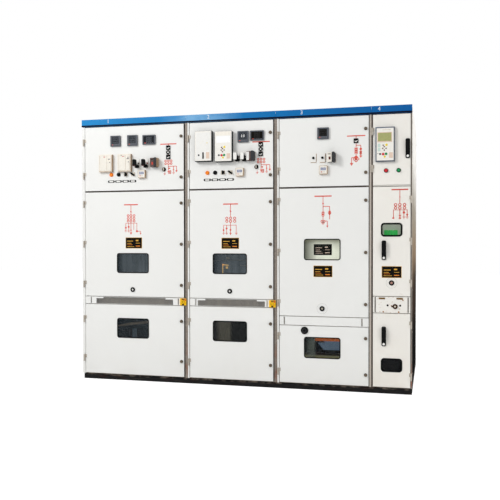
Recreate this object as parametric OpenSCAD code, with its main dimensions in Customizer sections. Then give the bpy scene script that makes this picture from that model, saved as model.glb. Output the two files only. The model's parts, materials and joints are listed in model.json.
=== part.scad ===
// Line-up of four metal-clad medium-voltage switchgear panels on a channel base.
// Millimetres. +Z is up, the doors face -Y, and panels 1 to 4 run along +X.
// The origin is on the floor, in the middle of the line-up's box.

/* [Line-up] */
// Width of panel 1
panel_1_w = 1000; // [850:10:1200]
// Width of panel 2
panel_2_w = 800; // [650:10:1000]
// Width of panel 3
panel_3_w = 800; // [650:10:1000]
// Width of panel 4
panel_4_w = 325; // [270:5:420]
// Height of the panels above the base
panel_h = 2300; // [1900:10:2600]
// Depth from the door faces to the rear covers
panel_d = 1500; // [1300:10:1700]

/* [Base] */
// Height of the base channels
base_h = 50; // [40:1:100]
// Width of the channels' flanges
base_flange = 40; // [34:1:60]
// Thickness of the channels
base_t = 5; // [4:0.5:8]
// Diameter of the anchor holes
anchor_d = 14; // [10:1:18]
// Distance of the anchor holes from the ends of the base
anchor_inset = 150; // [80:10:300]

/* [Sheet metal] */
// Thickness of walls, doors, shelves and covers
sheet_t = 2; // [1.5:0.5:3]
// Width of the posts' flanges beside each panel
post_flange = 42; // [38:1:50]
// Depth of the folded cross rails
rail_d = 40; // [30:1:60]
// Height of the header fascia
header_h = 64; // [50:1:80]
// How far the header stands in front of the doors
header_out = 5; // [0:1:10]
// How far the roof lies below the header's top
roof_drop = 20; // [12:1:30]
// Depth of the folded rear covers
cover_fold = 20; // [15:1:30]
// Height of the joint between the lower and upper rear covers
cover_split = 1150; // [900:10:1400]

/* [Doors] */
// Depth of the folded door edges
door_fold = 25; // [20:1:30]
// Gap behind the doors for the seal
seal_gap = 5; // [5:0.5:8]
// Width of the hinge posts on panels 1 to 3
post_w = 27; // [24:1:32]
// Width of the hinge posts on panel 4
narrow_post_w = 8; // [8:0.5:12]
// Gap between a hinge post and a door
post_gap = 5; // [5:0.5:8]
// Distance of the doors' free edges from the panel's edge on panels 1 to 3
lock_margin = 22; // [18:1:30]
// Gap above and below the front strips
strip_gap = 5.5; // [5:0.5:8]
// Gap between the instrument and truck doors
door_gap = 14; // [10:1:20]
// Distance from the top of the truck doors to the top of the panels
instrument_row_h = 658; // [640:2:720]
// Bottom edge of the cable doors above the base
cable_door_low = 10; // [8:1:20]
// Depth of the truck compartments behind the door faces
truck_depth = 900; // [850:10:1000]
// Depth of the instrument compartments behind the door faces
instrument_depth = 480; // [400:10:560]

/* [Front strips] */
// Bottom of the vent strips on panels 1 and 2 above the base
vent_strip_z = 638.5; // [620:0.5:680]
// Height of the vent strips
vent_strip_h = 63; // [54:1:70]
// Bottom of panel 3's strip above the base
plain_strip_z = 495.5; // [480:0.5:520]
// Height of panel 3's strip
plain_strip_h = 71; // [60:1:80]
// Bottom of panel 4's strip above the base
latch_strip_z = 615.5; // [600:0.5:640]
// Height of panel 4's strip
latch_strip_h = 131; // [120:1:140]
// How far the strips lie behind the door faces
strip_set = 2; // [2:1:8]
// Width of a vent slot
slot_w = 5; // [3:0.5:6]
// Distance from one vent slot to the next
slot_pitch = 10; // [8:0.5:14]

/* [Hinges] */
// Radius of the hinge knuckles
knuckle_r = 6.5; // [5:0.5:6.5]
// Radius of the hinge pins
pin_r = 3.5; // [2.5:0.25:3.5]
// Clearance of a pin in its knuckle
pin_gap = 0.3; // [0.2:0.05:0.4]
// Length of one hinge, both knuckles together
hinge_l = 60; // [50:2:80]
// How far the hinge axis lies in front of the door faces
hinge_out = 7; // [7:0.5:9]
// Distance from the hinge axis to the door's edge on panels 1 to 3
hinge_in = 12; // [11:0.5:14]
// Distance from the hinge axis to the door's edge on panel 4
narrow_hinge_in = 6; // [5:0.5:8]

/* [Windows] */
// Width of the windows on panels 1 to 3
window_w = 296; // [240:2:320]
// Height of the windows on panels 1 to 3
window_h = 168; // [140:2:180]
// Width of the windows on panel 4
narrow_window_w = 150; // [120:2:160]
// Height of the windows on panel 4
narrow_window_h = 90; // [70:2:110]
// Corner radius of the windows
window_r = 16; // [8:1:24]
// Thickness of the panes
glass_t = 6; // [4:1:10]
// How far the panes lap behind the door sheet
glass_lap = 16; // [10:1:20]

/* [Instruments] */
// Side of the square meters
meter_side = 96; // [80:2:100]
// How far the meters stand out
meter_out = 14; // [8:1:20]
// How far the tall relays stand out
relay_out = 46; // [20:1:50]
// How far the control switch grips stand out
grip_out = 60; // [56:1:80]
// Length of the swing handles on panel 4
handle_l = 160; // [140:2:180]
// How far the swing handles stand out
handle_out = 34; // [24:1:45]

/* [Hidden] */
$fn = 48;

panel_w = [panel_1_w, panel_2_w, panel_3_w, panel_4_w];
last = len(panel_w) - 1;
function left_of(k) = k == 0 ? -line_w / 2 : left_of(k - 1) + panel_w[k - 1];
line_w = panel_1_w + panel_2_w + panel_3_w + panel_4_w;
panel_gap = 1;

// Planes from front to back, with the box centred on Y = 0
face_y = (grip_out - panel_d) / 2;
frame_y = face_y + door_fold + seal_gap;
rail_y = frame_y + sheet_t;
rear_y = face_y + panel_d;
wall_end_y = rear_y - cover_fold;

// Levels from the floor up
top_z = base_h + panel_h;
header_z = top_z - header_h;
roof_z = top_z - roof_drop;
header_gap = 8;
strip_z = [for (z = [vent_strip_z, vent_strip_z, plain_strip_z, latch_strip_z]) base_h + z];
strip_h = [vent_strip_h, vent_strip_h, plain_strip_h, latch_strip_h];
truck_top_z = top_z - instrument_row_h;
instrument_z = truck_top_z + door_gap;
rail_lap = 15;
mid_rail_h = 50;
shelf_z = truck_top_z + door_gap / 2 + mid_rail_h / 2;
mid_rail_z = shelf_z - mid_rail_h;
function truck_floor_z(k) = strip_z[k] + strip_h[k] + rail_lap;

// Doors: rows are [low, high] levels, and edges are distances from the panel's left
INSTRUMENT = 0;
TRUCK = 1;
CABLE = 2;
function row_low(row, k) =
    row == INSTRUMENT ? instrument_z
    : row == TRUCK ? strip_z[k] + strip_h[k] + strip_gap
    : base_h + cable_door_low;
function row_high(row, k) =
    row == INSTRUMENT ? header_z - header_gap
    : row == TRUCK ? truck_top_z
    : strip_z[k] - strip_gap;
function is_narrow(k) = k == last;
function opens_right(row, k) = is_narrow(k) && row != INSTRUMENT;
function post_width(k) = is_narrow(k) ? narrow_post_w : post_w;
function door_left(k) = post_width(k) + post_gap;
function door_right(k) = panel_w[k] - (is_narrow(k) ? narrow_post_w + post_gap : lock_margin);
function hinge_reach(k) = is_narrow(k) ? narrow_hinge_in : hinge_in;
function hinge_x(row, k) =
    opens_right(row, k) ? door_right(k) + hinge_reach(k) : door_left(k) - hinge_reach(k);
hinge_y = face_y - hinge_out;

// Fittings along the door edges
lock_in = 24;
row_inset = [107, 107, 135];
low_inset = 90;
hinge_inset = [135, 107, 135];
function inset(list, row, k) = row == CABLE && k >= 2 ? low_inset : list[row];
function spread(low, high, count) = [for (i = [0:count - 1]) low + (high - low) * i / (count - 1)];
function edge_levels(list, row, k) =
    let (edge = inset(list, row, k))
    spread(row_low(row, k) + edge, row_high(row, k) - edge, row == TRUCK ? 3 : 2);

// Windows: the middle's share of the door's height, by row and panel
window_share = [[], [0.32, 0.32, 0.522, 0.607], [0.665, 0.665, 0.625, 0.30]];
function door_level(row, k, share) = row_low(row, k) + share * (row_high(row, k) - row_low(row, k));
function window_z(row, k) = door_level(row, k, window_share[row][k]);
window_shift = -5;
rim_out = 3;
rim_w = 8;
narrow_rim_w = 14;
rim_lap = 3;
function window_x(k) = panel_w[k] / 2 + (is_narrow(k) ? 0 : window_shift);
function window_size(k) = is_narrow(k) ? [narrow_window_w, narrow_window_h] : [window_w, window_h];
function rim_width(k) = is_narrow(k) ? narrow_rim_w : rim_w;

// Racking sockets on the truck doors: height above the door's low edge
socket_rise = [63, 63, 66, 108];
socket_r = 21;
socket_bore_r = 11;
socket_plug_r = 9;
socket_out = 6;
plug_out = 3;

// Colours
door_white = [0.925, 0.922, 0.905];
bare_metal = [0.60, 0.60, 0.57];
black_steel = [0.09, 0.09, 0.095];
header_blue = [0.055, 0.37, 0.68];
dark_plastic = [0.10, 0.10, 0.11];
slate = [0.30, 0.31, 0.34];
relay_beige = [0.80, 0.79, 0.72];
glass_tint = [0.25, 0.29, 0.31, 0.5];

// Shared shapes

// A box between two X, two Y and two Z values
module block(x, y, z) {
    translate([x[0], y[0], z[0]]) cube([x[1] - x[0], y[1] - y[0], z[1] - z[0]]);
}

// A flat shape drawn in X and Z, made solid from y to y + t
module upright(y, t) {
    translate([0, y + t, 0]) rotate([90, 0, 0]) linear_extrude(t) children();
}

// A flat shape drawn in Y and Z, made solid along X
module along_x(x, l) {
    translate([x, 0, 0]) rotate([90, 0, 90]) linear_extrude(l) children();
}

// A round boss standing out of a door face, from the face forwards
module boss(x, z, r, out, y = face_y) {
    translate([x, y, z]) rotate([90, 0, 0]) cylinder(r = r, h = out);
}

module rounded(size, r) {
    translate([-size[0] / 2 + r, -size[1] / 2]) square([size[0] - 2 * r, size[1]]);
    translate([-size[0] / 2, -size[1] / 2 + r]) square([size[0], size[1] - 2 * r]);
    for (sx = [-1, 1], sz = [-1, 1]) {
        translate([sx * (size[0] / 2 - r), sz * (size[1] / 2 - r)]) circle(r);
    }
}

// A channel section in its own plane: web at x = 0, flanges towards +x
module channel(h, flange, t) {
    square([t, h]);
    square([flange, t]);
    translate([0, h - t]) square([flange, t]);
}

// Base

module base_channel() {
    difference() {
        along_x(-line_w / 2, line_w) channel(base_h, base_flange, base_t);
        for (side = [-1, 1]) {
            translate([side * (line_w / 2 - anchor_inset), anchor_y_in, -1])
                cylinder(d = anchor_d, h = base_t + 2);
        }
    }
}
anchor_y_in = (base_flange + base_t) / 2;

module base_rails() {
    color(black_steel) {
        translate([0, frame_y, 0]) base_channel();
        translate([0, wall_end_y, 0]) mirror([0, 1, 0]) base_channel();
    }
}

// Channels under the walls, set between the two rails
module base_cross_members() {
    low_y = frame_y + base_flange;
    high_y = wall_end_y - base_flange;
    color(black_steel) for (k = [0:last + 1]) {
        translate([edge_x(k), high_y, 0]) rotate([90, 0, 0]) linear_extrude(high_y - low_y)
            mirror([k > last ? 1 : 0, 0]) channel(base_h, base_flange, base_t);
    }
}

// Walls

// Edge of panel k, where the number after the last panel gives the right end
function edge_x(k) = k > last ? line_w / 2 : left_of(k);

// A sheet of the stated width between the front and rear posts
module wall(x, w) {
    block([x, x + w], [rail_y, wall_end_y - sheet_t], [base_h, roof_z]);
}

module end_walls() {
    color(bare_metal) {
        wall(-line_w / 2, sheet_t);
        wall(line_w / 2 - sheet_t, sheet_t);
    }
}

// Two sheets back to back between neighbouring panels
module dividing_walls() {
    color(bare_metal) for (k = [1:last]) wall(left_of(k) - sheet_t, 2 * sheet_t);
}

// Flat posts across the walls' edges, with one flange to each panel
module posts(y) {
    for (k = [0:last + 1]) {
        x = [edge_x(k) - (k > 0 ? post_flange : 0), edge_x(k) + (k <= last ? post_flange : 0)];
        block(x, [y, y + sheet_t], [base_h, roof_z]);
    }
}

module front_posts() {
    color(bare_metal) posts(frame_y);
}

module rear_posts() {
    color(bare_metal) posts(wall_end_y - sheet_t);
}

// Clear inside of a panel, from wall to wall
function inside_x(k) = [left_of(k) + sheet_t, left_of(k) + panel_w[k] - sheet_t];

// Front posts that carry the hinges
post_set = 2;
post_low_gap = 3;
module post(x, w) {
    low = base_h + post_low_gap;
    translate([x, 0, low]) linear_extrude(header_z - post_low_gap - low) {
        if (w > 4 * sheet_t) {
            translate([0, face_y + post_set]) square([w, sheet_t]);
            translate([0, face_y + post_set]) square([sheet_t, frame_y - face_y - post_set]);
            translate([w - sheet_t, face_y + post_set]) square([sheet_t, frame_y - face_y - post_set]);
        } else {
            translate([0, face_y + post_set]) square([w, frame_y - face_y - post_set]);
        }
    }
}

// How far a post reaches back over the joint, towards the free edge of the door beside it
post_spare = 2;
function post_reach(k) = is_narrow(k) ? lock_margin - post_gap - post_spare : lock_margin / 2;

module hinge_posts() {
    color(bare_metal) {
        post(left_of(0) + panel_gap, post_width(0) - panel_gap);
        for (k = [1:last]) post(left_of(k) - post_reach(k), post_reach(k) + post_width(k));
        post(line_w / 2 - narrow_post_w, narrow_post_w);
    }
}

// Folded rails across each panel: under the roof, under the instruments, behind the strip, at the floor
top_rail_h = 60;
low_rail_h = 50;
module rail(k, z, h) {
    along_x(inside_x(k)[0], inside_x(k)[1] - inside_x(k)[0])
        translate([rail_y, z]) channel(h, rail_d, sheet_t);
}

module cross_rails() {
    color(bare_metal) for (k = [0:last]) {
        rail(k, roof_z - top_rail_h, top_rail_h);
        rail(k, mid_rail_z, mid_rail_h);
        rail(k, strip_z[k] - rail_lap, strip_h[k] + 2 * rail_lap);
        rail(k, base_h + sheet_t, low_rail_h);
    }
}

// Front strips between the truck and cable doors

// A folded strip, open at the back, with its edges on the rail
module strip_pan(k) {
    x = [left_of(k) + door_left(k), left_of(k) + door_right(k)];
    y = [face_y + strip_set, frame_y];
    z = [strip_z[k], strip_z[k] + strip_h[k]];
    difference() {
        block(x, y, z);
        block(
            [x[0] + sheet_t, x[1] - sheet_t],
            [y[0] + sheet_t, y[1] + 1],
            [z[0] + sheet_t, z[1] - sheet_t]
        );
    }
    // Tongues that carry the strip back to the rail between the front posts
    for (zt = [z[0], z[1] - sheet_t]) {
        block([x[0] + post_flange, x[1] - post_flange], [frame_y - sheet_t, rail_y], [zt, zt + sheet_t]);
    }
}

slit_w = 9;
slit_in = 54;
slit_land = 4;
module slits(k, narrow_in = 0, shift = 0) {
    slit = slit_in - narrow_in;
    for (x = [left_of(k) + door_left(k) + slit - shift, left_of(k) + door_right(k) - slit]) {
        block(
            [x - slit_w / 2, x + slit_w / 2],
            [face_y + strip_set - 1, face_y + strip_set + sheet_t + 1],
            [strip_z[k] + slit_land, strip_z[k] + strip_h[k] - slit_land]
        );
    }
}

// Vent slots: the ones near the ends of a row are shorter, which leaves a land above them
vent_in = [112, 78];
vent_land = 4;
vent_end = 63;
vent_end_drop = 12;
module vent_slots(k) {
    x0 = left_of(k) + door_left(k) + vent_in[k];
    x1 = left_of(k) + door_right(k) - vent_in[k];
    count = floor((x1 - x0) / slot_pitch);
    for (i = [0:count]) {
        x = x0 + i * slot_pitch;
        drop = min(x - x0, x1 - x) < vent_end ? vent_end_drop : 0;
        block(
            [x, x + slot_w],
            [face_y + strip_set - 1, face_y + strip_set + sheet_t + 1],
            [strip_z[k] + vent_land, strip_z[k] + strip_h[k] - vent_land - drop]
        );
    }
}

module vent_strips() {
    color(door_white) for (k = [0, 1]) {
        difference() {
            strip_pan(k);
            vent_slots(k);
            slits(k);
        }
    }
}

latch_slit_in = 36;
slit_shift = 13;
module plain_strips() {
    color(door_white) for (k = [2, 3]) {
        difference() {
            strip_pan(k);
            slits(k, is_narrow(k) ? latch_slit_in : 0, is_narrow(k) ? 0 : slit_shift);
        }
    }
}

// Door interlocks at the free end of the vent strips
interlock_w = 56;
interlock_h = 60;
interlock_out = 14;
interlock_in = 6;
key_r = 17;
key_bore_r = 5;
key_out = 10;
module interlocks() {
    color([0.95, 0.74, 0.02]) for (k = [0, 1]) {
        x = left_of(k) + door_right(k) - interlock_in;
        z = strip_z[k] + strip_h[k] / 2;
        difference() {
            union() {
                block(
                    [x - interlock_w / 2, x + interlock_w / 2],
                    [face_y + strip_set - interlock_out, face_y + strip_set],
                    [z - interlock_h / 2, z + interlock_h / 2]
                );
                boss(x, z, key_r, key_out, face_y + strip_set - interlock_out);
            }
            boss(x, z, key_bore_r, 2 * key_out, face_y + strip_set - interlock_out + key_out);
        }
    }
    latch_key();
    latches();
}

// Key socket on panel 4's strip
latch_key_x = 191;
latch_key_drop = 78;
latch_key_r = 20;
latch_key_bore_r = 9;
latch_key_out = 8;
module latch_key() {
    x = left_of(last) + latch_key_x;
    z = strip_z[last] + strip_h[last] - latch_key_drop;
    color([0.45, 0.34, 0.16]) difference() {
        boss(x, z, latch_key_r, latch_key_out, face_y + strip_set);
        boss(x, z, latch_key_bore_r, 2 * latch_key_out, face_y + strip_set - latch_key_out / 4);
    }
}

// Two catches along the top of panel 4's strip
latch_w = 50;
latch_h = 13;
latch_out = 5;
latch_drop = 7;
latch_share = [0.24, 0.715];
module latches() {
    width = door_right(last) - door_left(last);
    z = strip_z[last] + strip_h[last] - latch_drop;
    color([0.45, 0.34, 0.16]) for (share = latch_share) {
        x = left_of(last) + door_left(last) + share * width;
        block(
            [x - latch_w / 2, x + latch_w / 2],
            [face_y + strip_set - latch_out, face_y + strip_set],
            [z - latch_h, z]
        );
    }
}

// Header and roof

// A folded fascia, open at the back
module header_fascias() {
    color(header_blue) for (k = [0:last]) {
        x0 = left_of(k) + panel_gap / 2;
        along_x(x0, panel_w[k] - panel_gap)
            translate([face_y - header_out, header_z])
                channel(header_h, frame_y - face_y + header_out, sheet_t);
    }
}

module roof_plates() {
    color(bare_metal) for (k = [0:last]) {
        block(
            [left_of(k) + panel_gap / 2, left_of(k) + panel_w[k] - panel_gap / 2],
            [frame_y, wall_end_y],
            [roof_z, roof_z + sheet_t]
        );
    }
}

// Pressure relief flaps, one above each compartment
flap_margin = 70;
flap_gap = 60;
flap_t = 3;
flap_lip = 12;
flap_count = 3;
module relief_flaps() {
    y0 = frame_y + flap_margin;
    pitch = (wall_end_y - flap_margin - y0 + flap_gap) / flap_count;
    color(bare_metal) for (k = [0:last], i = [0:flap_count - 1]) {
        x = [left_of(k) + flap_margin, left_of(k) + panel_w[k] - flap_margin];
        y = [y0 + i * pitch, y0 + (i + 1) * pitch - flap_gap];
        block(x, y, [roof_z + sheet_t, roof_z + sheet_t + flap_t]);
        block(x, [y[1] - flap_t, y[1]], [roof_z + sheet_t, roof_z + sheet_t + flap_lip]);
    }
}

// Inside

module floor_plates() {
    color(bare_metal) for (k = [0:last]) {
        block(inside_x(k), [rail_y, wall_end_y - sheet_t], [base_h, base_h + sheet_t]);
    }
}

module shelves() {
    y = [rail_y, face_y + truck_depth];
    color(bare_metal) for (k = [0:last]) {
        block(inside_x(k), y, [shelf_z, shelf_z + sheet_t]);
        block(inside_x(k), y, [truck_floor_z(k), truck_floor_z(k) + sheet_t]);
    }
}

module compartment_backs() {
    instrument_back = face_y + instrument_depth;
    truck_back = face_y + truck_depth;
    color(bare_metal) for (k = [0:last]) {
        block(inside_x(k), [instrument_back - sheet_t, instrument_back], [shelf_z + sheet_t, roof_z]);
        block(inside_x(k), [truck_back - sheet_t, truck_back], [truck_floor_z(k) + sheet_t, shelf_z]);
    }
}

// Bolted covers, two to a panel, folded towards the walls
cover_gap = 2;
module cover(k, low, high) {
    x = [left_of(k) + cover_gap, left_of(k) + panel_w[k] - cover_gap];
    difference() {
        block(x, [wall_end_y, rear_y], [low, high]);
        block(
            [x[0] + sheet_t, x[1] - sheet_t],
            [wall_end_y - 1, rear_y - sheet_t],
            [low + sheet_t, high - sheet_t]
        );
    }
}

module rear_covers() {
    split_z = base_h + cover_split;
    color(door_white) for (k = [0:last]) {
        cover(k, base_h + cover_gap, split_z - cover_gap);
        cover(k, split_z + cover_gap, roof_z - cover_gap);
    }
}

// Withdrawable trucks on their runners
runner_w = 30;
runner_h = 14;
chassis_h = 90;
front_t = 3;
breaker_set = 150;
breaker_side = 120;
breaker_head_gap = 147;
truck_d = 480;
housing_in = 40;
housing_d = 340;
// Height of a truck, given the room left under the rail above it
function truck_h(k, head_gap) = mid_rail_z - head_gap - truck_floor_z(k) - sheet_t;
module truck_body(k, set, side, head_gap) {
    h = truck_h(k, head_gap);
    x = [left_of(k) + side, left_of(k) + panel_w[k] - side];
    y = face_y + set;
    z = truck_floor_z(k) + sheet_t;
    for (xr = [x[0], x[1] - runner_w]) {
        block([xr, xr + runner_w], [y, y + truck_d], [z, z + runner_h]);
    }
    block(x, [y, y + truck_d], [z + runner_h, z + runner_h + chassis_h]);
    block(x, [y, y + front_t], [z + runner_h, z + h]);
    block(
        [x[0] + housing_in, x[1] - housing_in],
        [y, y + housing_d],
        [z + runner_h + chassis_h - 1, z + h - housing_in]
    );
}

breaker_button_r = 16;
breaker_button_out = 10;
breaker_counter = [90, 40];
breaker_counter_out = 8;
breaker_counter_r = 6;
breaker_face_rise = 41;
breaker_pitch = 90;
module breaker_trucks() {
    color(slate) for (k = [0, 1]) {
        x = left_of(k) + panel_w[k] / 2;
        y = face_y + breaker_set;
        z = window_z(TRUCK, k) + breaker_face_rise;
        truck_body(k, breaker_set, breaker_side, breaker_head_gap);
        for (side = [-1, 1]) boss(x + side * breaker_pitch, z, breaker_button_r, breaker_button_out, y);
        upright(y - breaker_counter_out, breaker_counter_out)
            translate([x, z]) rounded(breaker_counter, breaker_counter_r);
    }
}

transformer_set = 80;
transformer_head_gap = 222;
module transformer_truck() {
    color([0.78, 0.80, 0.76]) truck_body(2, transformer_set, breaker_side, transformer_head_gap);
}

contactor_set = 120;
contactor_side = 60;
contactor_head_gap = 102;
module contactor_truck() {
    color([0.78, 0.80, 0.76]) truck_body(3, contactor_set, contactor_side, contactor_head_gap);
}

// Three fuse carriers on the contactor truck's front
carrier_w = 34;
carrier_h = 130;
carrier_d = 60;
carrier_pitch = 37;
carrier_shift = -10;
carrier_drop = 67;
carrier_r = 6;
module fuse_carriers() {
    color([0.10, 0.42, 0.22]) for (i = [-1, 0, 1]) {
        x = left_of(last) + panel_w[last] / 2 + carrier_shift + i * carrier_pitch;
        upright(face_y + contactor_set - carrier_d, carrier_d)
            translate([x, window_z(TRUCK, last) - carrier_drop]) rounded([carrier_w, carrier_h], carrier_r);
    }
}

// Angle rails and cast-resin current transformers in the cable compartments
angle_w = 50;
angle_t = 5;
angle_z = 180;
ct_set = 560;
ct_w = 150;
ct_d = 240;
ct_h = 200;
ct_r = 20;
ct_pitch = 210;
ct_boss_r = 30;
ct_boss_h = 40;
module transformer_rails() {
    y = face_y + ct_set;
    z = base_h + angle_z;
    color([0.72, 0.67, 0.52]) for (k = [0:2]) {
        along_x(inside_x(k)[0], inside_x(k)[1] - inside_x(k)[0]) {
            translate([y, z - angle_w]) square([angle_t, angle_w]);
            translate([y, z - angle_t]) square([angle_w, angle_t]);
        }
        along_x(inside_x(k)[0], inside_x(k)[1] - inside_x(k)[0]) {
            translate([y + ct_d - angle_t, z - angle_w]) square([angle_t, angle_w]);
            translate([y + ct_d - angle_w, z - angle_t]) square([angle_w, angle_t]);
        }
    }
}

module current_transformers() {
    y = face_y + ct_set;
    z = base_h + angle_z;
    color([0.20, 0.12, 0.09]) for (k = [0:2], i = [-1, 0, 1]) {
        x = left_of(k) + panel_w[k] / 2 + i * ct_pitch;
        translate([x, y + ct_d, z]) rotate([90, 0, 0]) linear_extrude(ct_d) {
            translate([0, ct_h / 2]) rounded([ct_w, ct_h], ct_r);
            translate([-ct_w / 2, 0]) square([ct_w, ct_h / 2]);
        }
        for (side = [1, 3]) {
            translate([x, y + ct_d * side / 4, z + ct_h - 1]) cylinder(r = ct_boss_r, h = ct_boss_h);
        }
    }
}

// Bars and a duct that show through the cable windows of panels 1 and 3
brace_set = 330;
brace_t = 12;
brace_h = 58;
brace_fall = 58;
stay_w = 44;
stay_in = -138;
bar_set = 250;
bar_t = 14;
bar_h = 44;
bar_low = 22;
duct_d = 130;
duct_h = 92;
duct_slant = 90;
duct_in = [-74, 236];
module cable_fittings() {
    color([0.62, 0.54, 0.42]) {
        // A sloping brace from wall to wall, and the stay below it
        x = inside_x(0);
        z = window_z(CABLE, 0);
        stay_x = left_of(0) + window_x(0) + stay_in;
        upright(face_y + brace_set, brace_t) polygon([
            [x[0], z - brace_fall - brace_h / 2],
            [x[1], z + brace_fall - brace_h / 2],
            [x[1], z + brace_fall + brace_h / 2],
            [x[0], z - brace_fall + brace_h / 2]
        ]);
        block(
            [stay_x - stay_w / 2, stay_x + stay_w / 2],
            [face_y + brace_set + brace_t, face_y + brace_set + 2 * brace_t],
            [base_h + sheet_t, z - brace_fall / 2]
        );
    }
    color([0.70, 0.33, 0.12]) {
        // A bar from wall to wall with a duct behind it
        x = left_of(2) + window_x(2);
        z = window_z(CABLE, 2);
        high = z + bar_low + bar_h;
        block(inside_x(2), [face_y + bar_set, face_y + bar_set + bar_t], [high - bar_h, high]);
        upright(face_y + bar_set + bar_t, duct_d) polygon([
            [x + duct_in[0], high],
            [x + duct_in[0] + duct_slant, high - duct_h],
            [x + duct_in[1], high - duct_h],
            [x + duct_in[1], high]
        ]);
    }
}

// Hinges

// Fixed half: a knuckle and pin on a pad that seats on the post
pin_short = 3;
module fixed_knuckle(row, k, z) {
    turn = opens_right(row, k) ? 1 : -1;
    x = left_of(k) + hinge_x(row, k);
    pad = [x, x + turn * knuckle_r];
    translate([x, hinge_y, z - hinge_l / 2]) {
        cylinder(r = knuckle_r, h = hinge_l / 2);
        cylinder(r = pin_r, h = hinge_l - pin_short);
    }
    block(
        [min(pad), max(pad)],
        [hinge_y, face_y + post_set],
        [z - hinge_l / 2, z]
    );
}

module hinge_pins() {
    color([0.62, 0.58, 0.50]) for (k = [0:last], row = [INSTRUMENT, TRUCK, CABLE]) {
        for (z = edge_levels(hinge_inset, row, k)) fixed_knuckle(row, k, z);
    }
}

// Moving half: a bored knuckle with a leaf on the door's face
leaf_t = 3;
leaf_in = 9;
knuckle_rise = 1;
module door_knuckle(row, k, z) {
    turn = opens_right(row, k) ? -1 : 1;
    x = left_of(k) + hinge_x(row, k);
    leaf = [x, x + turn * (hinge_reach(k) + leaf_in)];
    low = z + knuckle_rise;
    high = z + hinge_l / 2;
    difference() {
        union() {
            translate([x, hinge_y, low]) cylinder(r = knuckle_r, h = high - low);
            block([min(leaf), max(leaf)], [face_y - leaf_t, face_y], [low, high]);
        }
        translate([x, hinge_y, low - 1]) cylinder(r = pin_r + pin_gap, h = high - low + 2);
    }
}

module door_knuckles(row, k) {
    for (z = edge_levels(hinge_inset, row, k)) door_knuckle(row, k, z);
}

// Doors

module window_shape(row, k, grow) {
    translate([left_of(k) + window_x(k), window_z(row, k)])
        rounded([window_size(k)[0] + 2 * grow, window_size(k)[1] + 2 * grow], window_r + grow);
}

// A folded door leaf, open at the back. Truck and cable doors have a window cut-out.
module door_leaf(row, k) {
    x = [left_of(k) + door_left(k), left_of(k) + door_right(k)];
    z = [row_low(row, k), row_high(row, k)];
    color(door_white) difference() {
        block(x, [face_y, face_y + door_fold], z);
        block(
            [x[0] + sheet_t, x[1] - sheet_t],
            [face_y + sheet_t, face_y + door_fold + 1],
            [z[0] + sheet_t, z[1] - sheet_t]
        );
        if (row != INSTRUMENT) upright(face_y - 1, sheet_t + 2) window_shape(row, k, 0);
    }
}

module pane(row, k) {
    color(glass_tint) upright(face_y + sheet_t, glass_t) window_shape(row, k, glass_lap);
}

module window_rim(row, k) {
    upright(face_y - rim_out, rim_out) difference() {
        window_shape(row, k, rim_width(k) - rim_lap);
        window_shape(row, k, -rim_lap);
    }
}

// Quarter-turn lock with a slotted turning knob
lock_r = 14;
lock_base_out = 4;
lock_knob_r = 11;
lock_out = 14;
lock_slot = 3;
module lock(x, z) {
    difference() {
        union() {
            boss(x, z, lock_r, lock_base_out);
            boss(x, z, lock_knob_r, lock_out);
        }
        block(
            [x - lock_slot / 2, x + lock_slot / 2],
            [face_y - lock_out - 1, face_y - lock_out + lock_slot],
            [z - lock_r, z + lock_r]
        );
    }
}

module locks(row, k) {
    for (z = edge_levels(row_inset, row, k)) lock(left_of(k) + door_right(k) - lock_in, z);
}

// Swing handle with a base plate, a lever and a key barrel
handle_w = 36;
handle_base_out = 8;
handle_r = 12;
lever_w = 26;
lever_r = 8;
lever_d = 20;
lever_foot = 48;
barrel_r = 10;
barrel_out = 14;
module swing_handle(x, z) {
    lever_l = handle_l - lever_foot;
    lever_z = z + handle_l / 2 - lever_l / 2 - (handle_w - lever_w) / 2;
    upright(face_y - handle_base_out, handle_base_out) translate([x, z])
        rounded([handle_w, handle_l], handle_r);
    upright(face_y - handle_out, lever_d) translate([x, lever_z]) rounded([lever_w, lever_l], lever_r);
    upright(face_y - handle_out, handle_out)
        translate([x, lever_z + lever_l / 2 - lever_w]) rounded([lever_w, 2 * lever_w], lever_r);
    boss(x, z - handle_l / 2 + handle_w / 2, barrel_r, barrel_out);
}

// Racking socket in a truck door
module racking_socket(k) {
    x = left_of(k) + window_x(k);
    z = row_low(TRUCK, k) + socket_rise[k];
    difference() {
        boss(x, z, socket_r, socket_out);
        boss(x, z, socket_bore_r, 3 * socket_out, face_y + socket_out);
    }
    boss(x, z, socket_plug_r, plug_out);
}

// Handles on panel 4's truck and cable doors: below the truck door's window and above the cable door's
narrow_handle_in = 88;
truck_handle_gap = 42;
cable_handle_gap = 108;
function narrow_handle_z(row) =
    let (reach = (narrow_window_h + handle_l) / 2)
    row == TRUCK ? window_z(row, last) - reach - truck_handle_gap
    : window_z(row, last) + reach + cable_handle_gap;
module narrow_handle(row) {
    swing_handle(left_of(last) + door_left(last) + narrow_handle_in, narrow_handle_z(row));
}

module truck_door(k) {
    door_leaf(TRUCK, k);
}

module truck_window(k) {
    pane(TRUCK, k);
}

module truck_door_fittings(k) {
    color(dark_plastic) {
        window_rim(TRUCK, k);
        racking_socket(k);
        door_knuckles(TRUCK, k);
        if (is_narrow(k)) narrow_handle(TRUCK);
        else locks(TRUCK, k);
    }
}

// Round cap on panel 3's cable door
cap_in = 215;
cap_drop = 38;
cap_r = 31;
cap_out = 8;
cap_step_r = 22;
cap_step_out = 12;
module round_cap(k) {
    x = left_of(k) + door_left(k) + cap_in;
    z = row_high(CABLE, k) - cap_drop;
    boss(x, z, cap_r, cap_out);
    boss(x, z, cap_step_r, cap_step_out);
}

module cable_door(k) {
    door_leaf(CABLE, k);
}

module cable_window(k) {
    pane(CABLE, k);
}

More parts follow.
